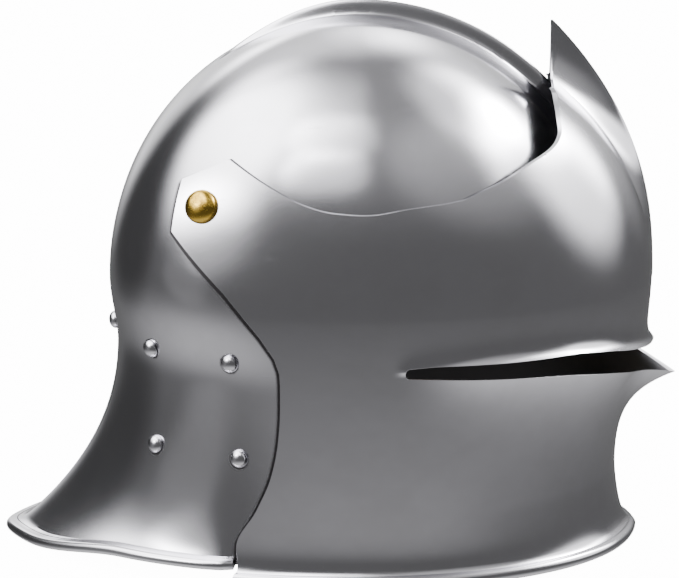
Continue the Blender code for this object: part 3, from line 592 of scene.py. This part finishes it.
def visor_form(turn, z, upper):
    """Outer face of the visor: a squared ellipse at each height, as deep in front as the part above or below
    the sight needs, plus flanged lips, the raised lower rim, the keel and the beak. Turn is in degrees."""
    t = np.abs(turn)
    d = np.radians(turn)
    high = np.clip((z - EQUATOR_Z) / VISOR_RISE, 0, 0.9995)
    s = np.sqrt(1 - high ** 2)
    low = np.clip(EQUATOR_Z - z, 0, None)
    width = VISOR_WIDTH * s - 11.5 * (low / 126.0) ** 1.35
    back = VISOR_BACK * s - 3.0 * smooth(low / 60.0)
    lips_apart = smooth((SLIT_END_ANGLE - t) / 30.0)
    shared = VISOR_FRONT * s - 0.13 * low
    if upper:
        lip = curve_through(LIP_UPPER, t)
        front = VISOR_FRONT * s - 3.8 * (low / 31.0) ** 1.5
        flange = 3.4 * lips_apart + 1.2 * smooth((SLIT_END_ANGLE + 3 - t) / 6)
        flange = flange * np.exp(-np.clip(z - lip, 0, 90) / 3.4)
        beak = 0.0
    else:
        lip = curve_through(LIP_LOWER, t)
        q = np.clip((z - 36.0) / (lip - 36.0), 0, 1)
        front = 128.5 + 12.5 * q ** 2.2 + 3.0 * np.clip((36.0 - z) / 24.0, 0, 2) ** 1.5
        flange = 2.6 * smooth((SLIT_END_ANGLE + 3 - t) / 25.0) * q ** 6
        beak = 15.0 * q ** 5.3
    front = shared + (front - shared) * lips_apart
    length = np.where(np.cos(d) < 0, back, front)
    n = 2 + VISOR_SQUARENESS * smooth((t - 70.0) / 45.0)
    r = squared_ellipse(turn, length, width, n)
    r = r + flange + 2.6 * np.exp(-np.clip(z - 2 * VISOR_ROLL, 0, 90) / 4.5)
    x, y = CENTRE_X + r * np.cos(d), r * np.sin(d)
    q = np.clip(np.sqrt(t ** 2 + 0.02) / KEEL_ANGLE, 0, 1)
    ridge = 156.5 - 51.0 * (np.clip(z - EQUATOR_Z, 0, None) / 129.0) ** 2.33
    keel = np.clip(ridge - (CENTRE_X + VISOR_FRONT * s), 0, None) * (0.55 * (1 - q) + 0.45 * (1 - q) ** 2)
    point = np.clip(1 - np.sqrt(y ** 2 + 0.3) / 34.0, 0, 1)
    x = x + keel * (z > EQUATOR_Z) + beak * point ** 1.5 + 1.6 * point ** 2 * smooth(low / 40.0)
    return np.stack([x, y, z + 0 * x], axis=-1)


def visor_top_z(turn):
    """Height of the visor's top edge: the fin is cut off upright, then the edge dips and rises."""
    t = np.abs(np.asarray(turn, float))
    steps, levels = np.linspace(0.0, 12.0, 61), np.linspace(200.0, 262.9, 900)
    reach = visor_form(steps[:, None] + 0 * levels, levels + 0 * steps[:, None], True)[..., 0]
    fin = np.where(reach >= FIN_EDGE_X, levels, 0).max(axis=1)
    edge = np.where(t > LOBE_TURN, LOBE_Z - 10.5 * (t - LOBE_TURN) / 10.0, curve_through(TOP_EDGE, t))
    return np.where(t < 12.0, np.interp(t, steps, fin), edge)


print("visor fin top, mm:", round(float(visor_top_z(np.array([0.0]))[0]), 1))


# %% Visor patches
def visor_patch(upper, count, turns, fan):
    """Turn and height of each point of the half visor above or below the sight, rows going upwards."""
    if upper:
        z_rear = np.concatenate([np.linspace(REAR_Z, 173, count - 14), np.linspace(173, 197, 15)[1:]])
        rear = np.interp(z_rear, *np.array(REAR_HIGH).T)
    else:
        z_rear = np.linspace(2 * VISOR_ROLL + 0.6, REAR_Z, count)
        rear = curve_through(REAR_LOW, z_rear)
    turn = turns[None, :] + fan[None, :] * (rear[:, None] - REAR_TURN)
    v = (z_rear - z_rear[0]) / (z_rear[-1] - z_rear[0])
    ease = v + (0.12 if upper else -0.10) * np.sin(2 * np.pi * v) / np.pi * (-1 if upper else 1)
    closing = np.sqrt(np.clip(1 - (1 - np.clip((SLIT_END_ANGLE - turns) / 1.1, 0, 1)) ** 2, 0, 1))
    lip = curve_through(LIP_UPPER if upper else LIP_LOWER, turns)
    middle = 108.2 - 6.2 * smooth((turns - SLIT_END_ANGLE) / 31.1)
    lip = np.where(turns < SLIT_END_ANGLE, middle + (lip - middle) * closing, middle)
    bottom, top = (lip, visor_top_z(turn[-1])) if upper else (np.full_like(lip, z_rear[0]), lip)
    share = v[:, None] * fan[None, :] ** 0.5 + ease[:, None] * (1 - fan[None, :] ** 0.5)
    z = bottom + share * (top - bottom)[None, :]
    z += fan[None, :] ** 3 * (z_rear - (bottom[-1] + v * (top[-1] - bottom[-1])))[:, None]
    return turn, z


def visor_faces(turn, z, upper):
    """Outer face by its formula; the inner one is set off straight inwards by the sheet's slanted depth."""
    outer = visor_form(turn, z, upper)
    e = 0.02
    across = visor_form(turn + e, z, upper) - visor_form(turn - e, z, upper)
    climb = visor_form(turn, z + e, upper) - visor_form(turn, z - e, upper)
    away = outward(turn)
    depth = SHEET / np.clip(np.abs((unit(np.cross(across, climb)) * away).sum(-1)), 0.2, 1)
    depth = np.where(np.abs(turn) < 0.5, depth[:, 4:5], depth)
    inner = outer - depth[..., None] * away
    if upper:
        least = np.minimum(FIN_EDGE_X, outer[..., 0]) - 1.1
        inner[..., 0] = np.where(np.abs(turn) < 11.9, np.maximum(inner[..., 0], least), inner[..., 0])
    return outer, inner


BEAD_ROWS, LOW_ROWS, HIGH_ROWS, FAN_FROM = 16, 48, 84, 70.0


def make_visor():
    """The left half as rolled rim, part below the sight and part above it, then its mirror image. Columns
    fan out behind the turn FAN_FROM, so that the last one follows the rear edge."""
    turns = spread([0, KEEL_ANGLE, 11.95, 30, 77.0, SLIT_END_ANGLE, 94.0, REAR_TURN],
                   [18, 10, 22, 44, 12, 24, 34])
    fan = np.clip((turns - FAN_FROM) / (REAR_TURN - FAN_FROM), 0, 1) ** 1.3
    low_turn, low_z = visor_patch(False, LOW_ROWS, turns, fan)
    low = visor_faces(low_turn, low_z, False)
    high = visor_faces(*visor_patch(True, HIGH_ROWS, turns, fan), True)
    foot = visor_form(low_turn[0], np.full(len(turns), 2 * VISOR_ROLL), False)
    away = outward(low_turn[0])
    centre = foot + away * (VISOR_ROLL - SHEET - 0.4)
    centre[:, 2] = VISOR_ROLL - 0.25
    phi = np.radians(np.linspace(-110, 100, BEAD_ROWS))[:, None, None]
    bead = centre + VISOR_ROLL * (np.cos(phi) * away + np.sin(phi) * np.array([0, 0, 1.0]))
    bead[..., 2] = np.maximum(bead[..., 2], 0.0)
    within = np.repeat(low[1][:1], BEAD_ROWS, axis=0)
    within[..., 2] = np.linspace(1.0, low[1][0, :, 2].min() - 0.4, BEAD_ROWS)[:, None]
    outer = np.concatenate([bead, low[0], high[0]])
    inner = np.concatenate([within, low[1], high[1]])
    seam = BEAD_ROWS + LOW_ROWS
    mirror = np.array([1, -1, 1.0])
    outer = np.concatenate([outer[:, :0:-1] * mirror, outer], axis=1)
    inner = np.concatenate([inner[:, :0:-1] * mirror, inner], axis=1)
    ids, cols = numbered(outer), outer.shape[1]
    apart = np.abs(np.arange(cols) - cols // 2) < np.argmin(np.abs(turns - SLIT_END_ANGLE))
    for grid in (ids, outer, inner):
        grid[seam][~apart] = grid[seam - 1][~apart]
    return closed_sheet("visor_plate", outer, inner, [STEEL, DARK_STEEL], ids, seam - 1)


visor_plate = make_visor()
print("visor faces:", settle(visor_plate, "visor", "steel", "visor"))

# %% [markdown]
# ## Rivets and pivots
# Thirteen steel rivets hold the leather inside. Each has a domed head outside and a small flat one,
# closed over a burr, inside. The visor turns on two brass studs. Their heads sit square to the
# visor's slope, while their stems lie along the axis. All of them are round, so each is a profile
# turned about its axis. The washers and six-sided nuts inside keep the frame's own shapes.


# %% Rivets
RIVETS = [("back", 180.0, 109.0), ("rear_left", 149.6, 109.0), ("rear_right", -149.6, 109.0),
          ("side_left", 124.6, 109.0), ("side_right", -124.6, 109.0), ("temple_left", 58.0, 158.0),
          ("temple_right", -58.0, 158.0), ("brow_left", 25.0, 158.0), ("brow_right", -25.0, 158.0),
          ("strap_rear_left", 148.5, 61.0), ("strap_rear_right", -148.5, 61.0),
          ("strap_front_left", 123.4, 61.0), ("strap_front_right", -123.4, 61.0)]
dome = np.radians(np.linspace(4, 90, 16))
HEAD_RADIUS, HEAD_DOME = 4.5, 3.4
HEAD = [(0, -8.0), (1.6, -8.1), (2.6, -7.9), (2.9, -7.3), (2.6, -6.9), (1.7, -6.8), (1.7, 0.2), (4.2, 0.1)]
HEAD += [(HEAD_RADIUS, 0.35)]
HEAD += [(HEAD_RADIUS * math.cos(a), 0.5 + HEAD_DOME * math.sin(a)) for a in dome[:-1]]
HEAD += [(0, 0.5 + HEAD_DOME)]
for word, turn, z in RIVETS:
    drop = drop_at(np.array(z))
    at, out = skull_wall(np.array(turn), drop), wall_normal(skull_wall, np.array(turn), drop)
    settle(turned("head_" + word, HEAD, at, out, RIVET_STEEL), "helmet", "steel", "rivet_" + word)
print("rivets:", len(RIVETS), "each of", len(HEAD), "rings")

# %% [markdown]
# ## Rims and painted shadow
# The cut edges were filed round, so they catch a thin line of light: a small bevel on every sharp
# edge does that. A painted shadow darkens the bowl just below the visor's edge and round each rivet,
# where they cast shade. Two distances are stored on the bowl's points for the steel to read: how far
# inside the visor's outline a point lies, seen from the side and a little above, with the outline
# moved down and back to where its shadow falls, and how far outside the nearest rivet, moved likewise.


# %% Rims and painted shadow
def signed_distance(spots, line):
    """Distance of points from an open line, positive on the side where it closes round the far right."""
    near, crossings = np.full(len(spots), 1e9), np.zeros(len(spots), int)
    ring = np.concatenate([line, [[300.0, line[-1, 1]], [300.0, line[0, 1]], line[0]]])
    for k, (start, end) in enumerate(zip(ring[:-1], ring[1:])):
        span = end - start
        crosses = (start[1] > spots[:, 1]) != (end[1] > spots[:, 1])
        at = start[0] + span[0] * (spots[:, 1] - start[1]) / (span[1] if abs(span[1]) > 1e-9 else 1e-9)
        crossings += crosses & (spots[:, 0] < at)
        if k < len(line) - 1:
            share = np.clip((spots - start) @ span / (span @ span + 1e-9), 0, 1)
            near = np.minimum(near, np.linalg.norm(spots - start - share[:, None] * span, axis=1))
    return np.where(crossings % 2 == 1, near, -near)


for plate in (skull_bowl, visor_plate):
    rim = plate.modifiers.new("filed edges", "BEVEL")
    rim.limit_method, rim.angle_limit, rim.width, rim.segments = "ANGLE", math.radians(55), 0.5 * MM, 2
z_low, z_high = np.linspace(6, REAR_Z, 60), np.linspace(REAR_Z, 197, 60)
top_turn = np.linspace(137, 60, 60)
edge_line = np.concatenate([visor_form(curve_through(REAR_LOW, z_low), z_low, False),
                            visor_form(np.interp(z_high, *np.array(REAR_HIGH).T), z_high, True),
                            visor_form(top_turn, visor_top_z(top_turn), True)])[:, [0, 2]]
spots = np.empty(len(skull_bowl.data.vertices) * 3)
skull_bowl.data.vertices.foreach_get("co", spots)
spots = spots.reshape(-1, 3) / MM
# The visor's outline and the rivet heads are moved down and back by these, to where their painted shadows
# fall.
EDGE_SHADOW_SHIFT, HEAD_SHADOW_SHIFT, SIDES_FROM = np.array([-1.3, -2.8]), np.array([-0.6, 0, -0.8]), 40
under_visor = np.where(np.abs(spots[:, 1]) > SIDES_FROM,
                       signed_distance(spots[:, [0, 2]], edge_line + EDGE_SHADOW_SHIFT), -9)
heads = np.stack([skull_wall(np.array(turn), drop_at(np.array(z))) for _, turn, z in RIVETS])
from_rivet = np.linalg.norm(spots[:, None] - heads - HEAD_SHADOW_SHIFT, axis=2).min(1) - HEAD_RADIUS
for word, values in (("under_visor", under_visor), ("from_rivet", from_rivet)):
    stored = skull_bowl.data.attributes.new(word, "FLOAT", "POINT")
    stored.data.foreach_set("value", np.clip(values, -9, 20) + ADDED)
print("points under the visor:", (under_visor > 0).sum(), "by a rivet:", (np.abs(from_rivet) < 1).sum())


# %% Pivot studs
def side_width(form, x):
    """Half width of a surface at one x, by halving the span that its turn lies in."""
    low, high = 91.0, 179.0
    for _ in range(40):
        middle = (low + high) / 2
        low, high = (middle, high) if form(middle)[0] > x else (low, middle)
    return float(form(low)[1])


def visor_width(x, z):
    return side_width(lambda t: visor_form(np.array([t]), np.array([z]), True)[0], x)


visor_y = visor_width(PIVOT_X, PIVOT_Z)
skull_y = side_width(lambda t: skull_wall(np.array([t]), drop_at(np.array([PIVOT_Z])))[0], PIVOT_X)
slope_x = (visor_width(PIVOT_X + 1, PIVOT_Z) - visor_width(PIVOT_X - 1, PIVOT_Z)) / 2
slope_z = (visor_width(PIVOT_X, PIVOT_Z + 1) - visor_width(PIVOT_X, PIVOT_Z - 1)) / 2
stem_end = skull_y - 13.6 - visor_y
STUD = [(0, stem_end), (2.2, stem_end), (2.6, stem_end + 0.5), (2.6, -0.1), (7.9, 0.2), (8.2, 0.5)]
STUD += [(8.2, 0.9)]
STUD += [(8.1 * math.cos(a), 0.9 + 4.9 * math.sin(a)) for a in dome[:-1]] + [(0, 5.8)]
for word, s in (("right", -1), ("left", 1)):
    square = (-slope_x, s, -slope_z)
    stud = turned("stud_" + word, STUD, (PIVOT_X, s * visor_y, PIVOT_Z), (0, s, 0), BRASS, square, 0.0, 96)
    settle(stud, "visor", "brass", "pivot_stud_" + word)
    for kind in ("washer", "nut"):
        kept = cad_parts["pivot_" + kind + "_" + word]
        kept.data.materials.clear()
        kept.data.materials.append(RIVET_STEEL)
print("visor and skull half widths at the pivots:", round(visor_y, 1), round(skull_y, 1))

# %% [markdown]
# ## Leather
# Straps are cut from one hide: a liner band riveted round the bowl, a yoke inside each cheek, and a
# chin strap in two halves with a buckle. A strap is a rounded flat section swept along a path. Its
# cloth coordinates are the length along it and the distance from its nearest edge, for the stitches.


# %% Straps
def through(points, count):
    """A smooth path through the given points, evenly cut by length: each span is a cubic."""
    p = np.array(points, float)
    p = np.concatenate([[2 * p[0] - p[1]], p, [2 * p[-1] - p[-2]]])
    t = np.linspace(0, 1, 24, endpoint=False)[None, :, None]
    a, b, c, d = (p[k:len(p) - 3 + k, None, :] for k in range(4))
    fine = 0.5 * (2 * b + (c - a) * t + (2 * a - 5 * b + 4 * c - d) * t ** 2
                  + (3 * b - a - 3 * c + d) * t ** 3)
    fine = np.concatenate([fine.reshape(-1, 3), p[-2:-1]])
    length = np.concatenate([[0], np.cumsum(np.linalg.norm(np.diff(fine, axis=0), axis=1))])
    even = np.linspace(0, length[-1], count)
    return np.stack([np.interp(even, length, fine[:, k]) for k in range(3)], 1)


def ahead_on(path, closed):
    """The way a path runs at each of its points."""
    return unit(np.roll(path, -1, 0) - np.roll(path, 1, 0) if closed else np.gradient(path, axis=0))


def strap(name, path, side, wide, thick, closed=False):
    """A flat section with rounded edges along a path; side is its width direction."""
    ahead = ahead_on(path, closed)
    side = unit(side - ahead * (side * ahead).sum(1, keepdims=True))
    up = np.cross(ahead, side)
    a = np.linspace(0, 2 * np.pi, 41)[:-1]
    across = wide / 2 * np.sign(np.cos(a)) * np.abs(np.cos(a)) ** 0.28
    level = thick / 2 * np.sign(np.sin(a)) * np.abs(np.sin(a)) ** 0.5
    rows = path[:, None] + side[:, None] * across[None, :, None] + up[:, None] * level[None, :, None]
    step = np.linalg.norm(np.diff(path, axis=0, prepend=path[:1]), axis=1)
    cloth = np.stack(np.broadcast_arrays(np.cumsum(step)[:, None], wide / 2 - np.abs(across)[None]), -1)
    return swept(name, rows, LEATHER, closed, cloth)


BAND_DEPTH, BAND_WIDE, BAND_THICK = 4.65, 14.0, 2.0


def band_height(turn):
    """Height of the band's middle: low round the back, and 49 mm higher at the temples and brow."""
    return 109.0 + 49.0 * smooth((112.0 - np.abs(turn)) / 42.0)


band_turns = np.linspace(-180, 180, 361)[:-1]
middle = inside_skull(band_turns, band_height(band_turns), BAND_DEPTH)
upper = inside_skull(band_turns, band_height(band_turns) + BAND_WIDE / 2, BAND_DEPTH)
band = strap("band", middle, upper - middle, BAND_WIDE, BAND_THICK, True)
print("liner band:", settle(band, "helmet", "leather", "liner_band"))

for word, s in (("right", -1), ("left", 1)):
    t = np.linspace(-1, 1, 121)
    turn, z = s * (136.0 - 14.6 * t), 30.0 + 37.0 * np.abs(t) ** 1.3
    middle = inside_skull(turn, z, 4.2)
    side = np.cross(wall_normal(skull_wall, turn, drop_at(z)), np.gradient(middle, axis=0))
    settle(strap("yoke_" + word, middle, side, 11.0, 1.8), "helmet", "leather", "chin_yoke_" + word)

# %% [markdown]
# ## Chin strap
# Each half hangs from its yoke and turns flat across under the chin. The right half is folded round
# the buckle's bar, and the left one passes over the frame, is held by the prong and tucks through a
# keeper.

# %% Chin strap and buckle
yoke_low = inside_skull(np.array([136.0]), np.array([44.0]), 8.2)[0]
STRAP_X, LAY, WIDE, THICK = float(yoke_low[0]), 2.7, 16.0, 1.8
HANG = [(36.0, 0.0), (24.0, 0.0), (15.0, 1.0), (8.5, 4.0), (4.4, 9.5), (LAY, 17.0), (LAY, 26.0)]
BAR_Y, BAR_Z, FRONT_Y = -30.0, LAY + 2.5, -9.0
hang_y = float(yoke_low[1]) - 0.6
right = [(-(hang_y - dy), z) for z, dy in HANG] + [(-44.0, LAY), (-36.0, LAY), (BAR_Y, LAY)]
right += [(BAR_Y + 2.5 * np.sin(a), BAR_Z - 2.5 * np.cos(a)) for a in np.radians([35, 70, 105, 140, 175])]
right += [(-34.0, BAR_Z + 1.6), (-38.0, BAR_Z + 0.3), (-43.0, BAR_Z - 0.25), (-54.0, BAR_Z - 0.3)]
left = [(hang_y - dy, z) for z, dy in HANG] + [(20.0, LAY), (-4.0, LAY), (FRONT_Y, LAY), (-12.5, LAY + 0.7)]
left += [(-16.0, LAY + 2.8), (-20.0, LAY + 5.8), (-24.0, LAY + 7.4), (-29.0, LAY + 7.7), (-35.0, LAY + 6.6)]
left += [(-42.0, LAY + 4.8), (-52.0, LAY + 4.4), (-60.0, LAY + 4.0)]
for word, route in (("right", right), ("left", left)):
    path = through([(STRAP_X, y, z) for y, z in route], 240)
    piece = strap("strap_" + word, path, np.tile([1.0, 0, 0], (len(path), 1)), WIDE, THICK)
    settle(piece, "helmet", "leather", "chin_strap_" + word)
loop = [(9.1, 0.9), (9.1, LAY + 5.9), (-9.1, LAY + 5.9), (-9.1, 0.9)]
path = np.concatenate([np.linspace(loop[k], loop[(k + 1) % 4], 14, endpoint=False) for k in range(4)])
path = np.stack([STRAP_X + path[:, 0], np.full(len(path), -50.0), path[:, 1]], 1)
keeper = strap("keeper", path, np.tile([0, 1.0, 0], (len(path), 1)), 7.0, 1.2, True)
settle(keeper, "helmet", "leather", "strap_keeper")


def wire(name, path, radius, finish_of, closed, up, lay=0.0, cloth=False):
    """A round wire along a path; lay cuts it into three strands that wind once in so many mm."""
    ahead = ahead_on(path, closed)
    one = unit(np.cross(ahead, np.array(up, float)))
    two = np.cross(ahead, one)
    a = np.linspace(0, 2 * np.pi, 25)[:-1][None, :]
    along = np.cumsum(np.linalg.norm(np.diff(path, axis=0, prepend=path[:1]), axis=1))[:, None]
    size = radius + 0 * a
    if lay:
        size = radius * (0.78 + 0.22 * np.abs(np.cos(1.5 * a + np.pi * along / lay)) ** 0.6)
    spoke = np.cos(a)[..., None] * one[:, None] + np.sin(a)[..., None] * two[:, None]
    rows = path[:, None] + size[..., None] * spoke
    flat = np.stack(np.broadcast_arrays(along, a / (2 * np.pi) / MM), -1) if cloth else None
    return swept(name, rows, finish_of, closed, flat)


corner = np.radians(np.linspace(0, 90, 12))
frame_path = []
for k, (sx, sy) in enumerate(((1, 1), (-1, 1), (-1, -1), (1, -1))):
    a = corner + k * np.pi / 2
    x, y = STRAP_X + sx * 8.5 + 3 * np.cos(a), (BAR_Y + FRONT_Y) / 2 + sy * 7.5 + 3 * np.sin(a)
    frame_path.append(np.stack([x, y, np.full(12, BAR_Z)], 1))
frame_wire = wire("frame_wire", np.concatenate(frame_path), 1.3, RIVET_STEEL, True, (0, 0, 1))
settle(frame_wire, "helmet", "steel", "buckle_frame")
eye = np.radians([60, 20, -20, -60, -100, -140, -175])
prong = [(BAR_Y + 2.5 * np.sin(a), BAR_Z - 2.5 * np.cos(a)) for a in eye]
prong += [(y, BAR_Z + 2.5) for y in (BAR_Y + 4.0, -19.0, FRONT_Y)] + [(FRONT_Y + 2.6, BAR_Z + 2.3)]
prong_path = through([(STRAP_X, y, z) for y, z in prong], 90)
prong_wire = wire("prong_wire", prong_path, 0.9, RIVET_STEEL, False, (1, 0, 0))
settle(prong_wire, "helmet", "steel", "buckle_prong")
print("chin strap pieces made")

# %% [markdown]
# ## Linen fingers and lace
# The head rests in eight fingers of doubled canvas, sewn to the band. Their tips are drawn together
# below the crown by a flax lace, so the wearer sets how deep the helmet sits. Each finger follows the
# bowl and sinks away from it towards its tip, with soft folds where the lace gathers it and a hem
# turned under along its edges.


# %% Fingers
TIP_DROP, LACE_DROP, LACE_RADIUS = 0.2, 0.278, 1.1


def finger_face(turn, t, start, depth):
    """A finger's face: the skull's, moved in by depth and up to 24.5 mm more from band (t 0) to tip (t 1)."""
    drop = start + (TIP_DROP - start) * t
    depth = depth + 24.5 * smooth(t * 0.96 + 0.04)
    return skull_wall(turn, drop) - depth[..., None] * wall_normal(skull_wall, turn, drop)


fingers = []
for k in range(8):
    middle = 22.5 + 45.0 * k - (360.0 if k >= 4 else 0.0)
    t, across = np.meshgrid(np.linspace(0, 1, 90), np.linspace(-1, 1, 41), indexing="ij")
    turn = middle + across * (19.0 - 5.0 * t)
    start = drop_at(band_height(turn[0]) + 4.0)[None, :] + 0 * t
    edge = np.minimum(1 - np.abs(across), np.minimum(t, 1 - t) * 3.0)
    hem = smooth((0.22 - edge) / 0.05) * 0.35 * smooth(edge / 0.02 + 0.3)
    folds = (0.7 * smooth(t * 1.6 - 0.5) * np.sin(across * 7.0 + k)
             + 0.5 * np.sin(2.6 * across + 5.0 * t + 2.0 * k))
    folds = folds * smooth(t / 0.25)
    out = finger_face(turn, t, start, 6.6 - hem + folds)
    back = finger_face(turn, t, start, 8.2 + hem + folds)
    wide = np.linalg.norm(np.diff(out, axis=1, prepend=out[:, :1]), axis=2).cumsum(1)
    tall = np.linalg.norm(np.diff(out, axis=0, prepend=out[:1]), axis=2).cumsum(0)
    finger = closed_sheet("finger_%d" % (k + 1), out, back, [LINEN], cloth=np.stack([wide, tall], -1))
    settle(finger, "helmet", "linen", "liner_finger_%d" % (k + 1))
    fingers.append((finger, wide[:, -1].mean() * MM, tall[-1].mean() * MM))
print("fingers, mm wide and long:", [(round(w / MM), round(h / MM)) for _, w, h in fingers])

# %% Lace
around = np.linspace(0, 2 * np.pi, 721)[:-1]
lace_turn = (np.degrees(around) + 180.0) % 360.0 - 180.0
start = drop_at(band_height(lace_turn) + 4.0)
lace_path = finger_face(lace_turn, (start - LACE_DROP) / (start - TIP_DROP), start, 7.45 + 0 * start)
lace_path[:, 2] -= 5.0 * np.sin(4 * around + np.pi / 2)
lace = wire("lace", lace_path, LACE_RADIUS, CORD, True, (0, 0, 1), 6.0, True)
print("lace faces:", settle(lace, "helmet", "cord", "liner_lace"))

for finger, wide, tall in fingers:
    wide * 1.15
    tall * 1.02
    wide * tall

# %% [markdown]
# ## Studio
# The helmet stands on a white sweep that runs up into a white dome, so that its outline is clean.
# A mirror needs something to show: a large round tent stands round it, seen only in reflections.
# It is dim on the camera's side, and soft boxes and cards lift or drop it by stops, each of which
# doubles or halves it: the brightest stand high towards the tail and lower towards the visor.

# %% Sweep
profile = np.array([(0, 0), (1.5, 0), (3.0, 0), (3.6, 0.12), (4.1, 0.5), (4.4, 1.2), (4.5, 2.2),
                    (3.9, 3.6), (2.4, 4.5), (0, 4.9)])  # radius and height, m
reach, level = profile.T
angle = np.linspace(0, 2 * np.pi, 97)[:, None]
sweep_points = np.stack([reach * np.cos(angle), reach * np.sin(angle), level + 0 * angle], -1)


def grid_mesh(name, points):
    """A plain mesh over a grid of points, in metres."""
    mesh = bpy.data.meshes.new(name)
    mesh.from_pydata(points.reshape(-1, 3).tolist(), [], cells(numbered(points))[0].tolist())
    return placed(name, mesh)


sweep = grid_mesh("sweep", sweep_points)
paper, paper_where, _, paper_join = finish("white paper", Emission_Strength=14.0)
grain = paper_where.noise(2.0)
paper_join(Base_Color=grain.blend((0.90, 0.90, 0.90, 1.0), (0.94, 0.94, 0.94, 1.0)),
           Roughness=0.75 + 0.05 * grain,
           Emission_Color=grain.blend((0.98, 0.98, 0.98, 1.0), (1.0, 1.0, 1.0, 1.0)))
sweep.data.materials.append(paper)
sweep.visible_glossy = sweep.visible_diffuse = sweep.visible_shadow = False

world = bpy.data.worlds.new("studio")
bpy.context.scene.world = world
world.use_nodes = True
sky = world.node_tree.nodes["Background"].inputs
sky["Color"].default_value, sky["Strength"].default_value = (1.0, 1.0, 1.0, 1.0), 1.0
print("sweep radius, m:", reach.max())

# %% Tent
TENT_SIZE, TENT_BASE, FULL_SHARE = 3.0, 0.13, 0.42  # radius in m, unlit brightness, share of a card at full
# Each card: turn from the camera towards the visor, height and half width in degrees, and stops.
TENT_CARDS = [
    (0, 90, 75, 1.4),
    (-72, 50, 46, 4.6),
    (-47, 20, 24, 2.4),
    (-9, 44, 13, 2.6),
    (-5, 60, 14, 1.8),
    (98, 27, 32, 4.3),
    (100, 54, 26, 2.2),
    (142, 34, 40, 2.4),
    (-122, 8, 36, -1.2),
    (-162, 15, 26, 3.6),
    (-166, 48, 32, 2.2),
    (-64, -4, 22, 0.9),
    (48, 42, 28, 1.0),
    (0, -90, 82, 2.8),
]


def tent_glow():
    """Brightness in each direction: the base times two to the power of the sum of all the cards."""
    material, where, _, join = finish("tent", Base_Color=(0.0, 0.0, 0.0, 1.0), Specular_IOR_Level=0.0,
                                      Emission_Strength=1.0)
    stops = 0.0
    for turn, height, width, gain in TENT_CARDS:
        a, e = math.radians(turn), math.radians(height)
        aim = Vector((math.sin(a) * math.cos(e), -math.cos(a) * math.cos(e), math.sin(e))) / TENT_SIZE
        near = where.make("ShaderNodeVectorMath", {"operation": "DOT_PRODUCT"}, "Value", in0=where, in1=aim)
        rim, full = math.cos(math.radians(width)), math.cos(math.radians(width * FULL_SHARE))
        stops = near.between(rim, full) * gain + stops
    join(Emission_Color=where.make("ShaderNodeMath", {"operation": "POWER"}, in0=2.0, in1=stops) * TENT_BASE)
    return material


lat, lon = np.meshgrid(np.linspace(0, np.pi, 33), np.linspace(-np.pi, np.pi, 65), indexing="ij")
ball = np.stack([np.sin(lat) * np.cos(lon), np.sin(lat) * np.sin(lon), np.cos(lat)], -1)
tent = grid_mesh("tent", TENT_SIZE * ball)
tent.data.materials.append(tent_glow())
tent.visible_camera = tent.visible_diffuse = tent.visible_shadow = False
tent.visible_transmission = tent.visible_volume_scatter = False
print("tent cards:", len(TENT_CARDS))
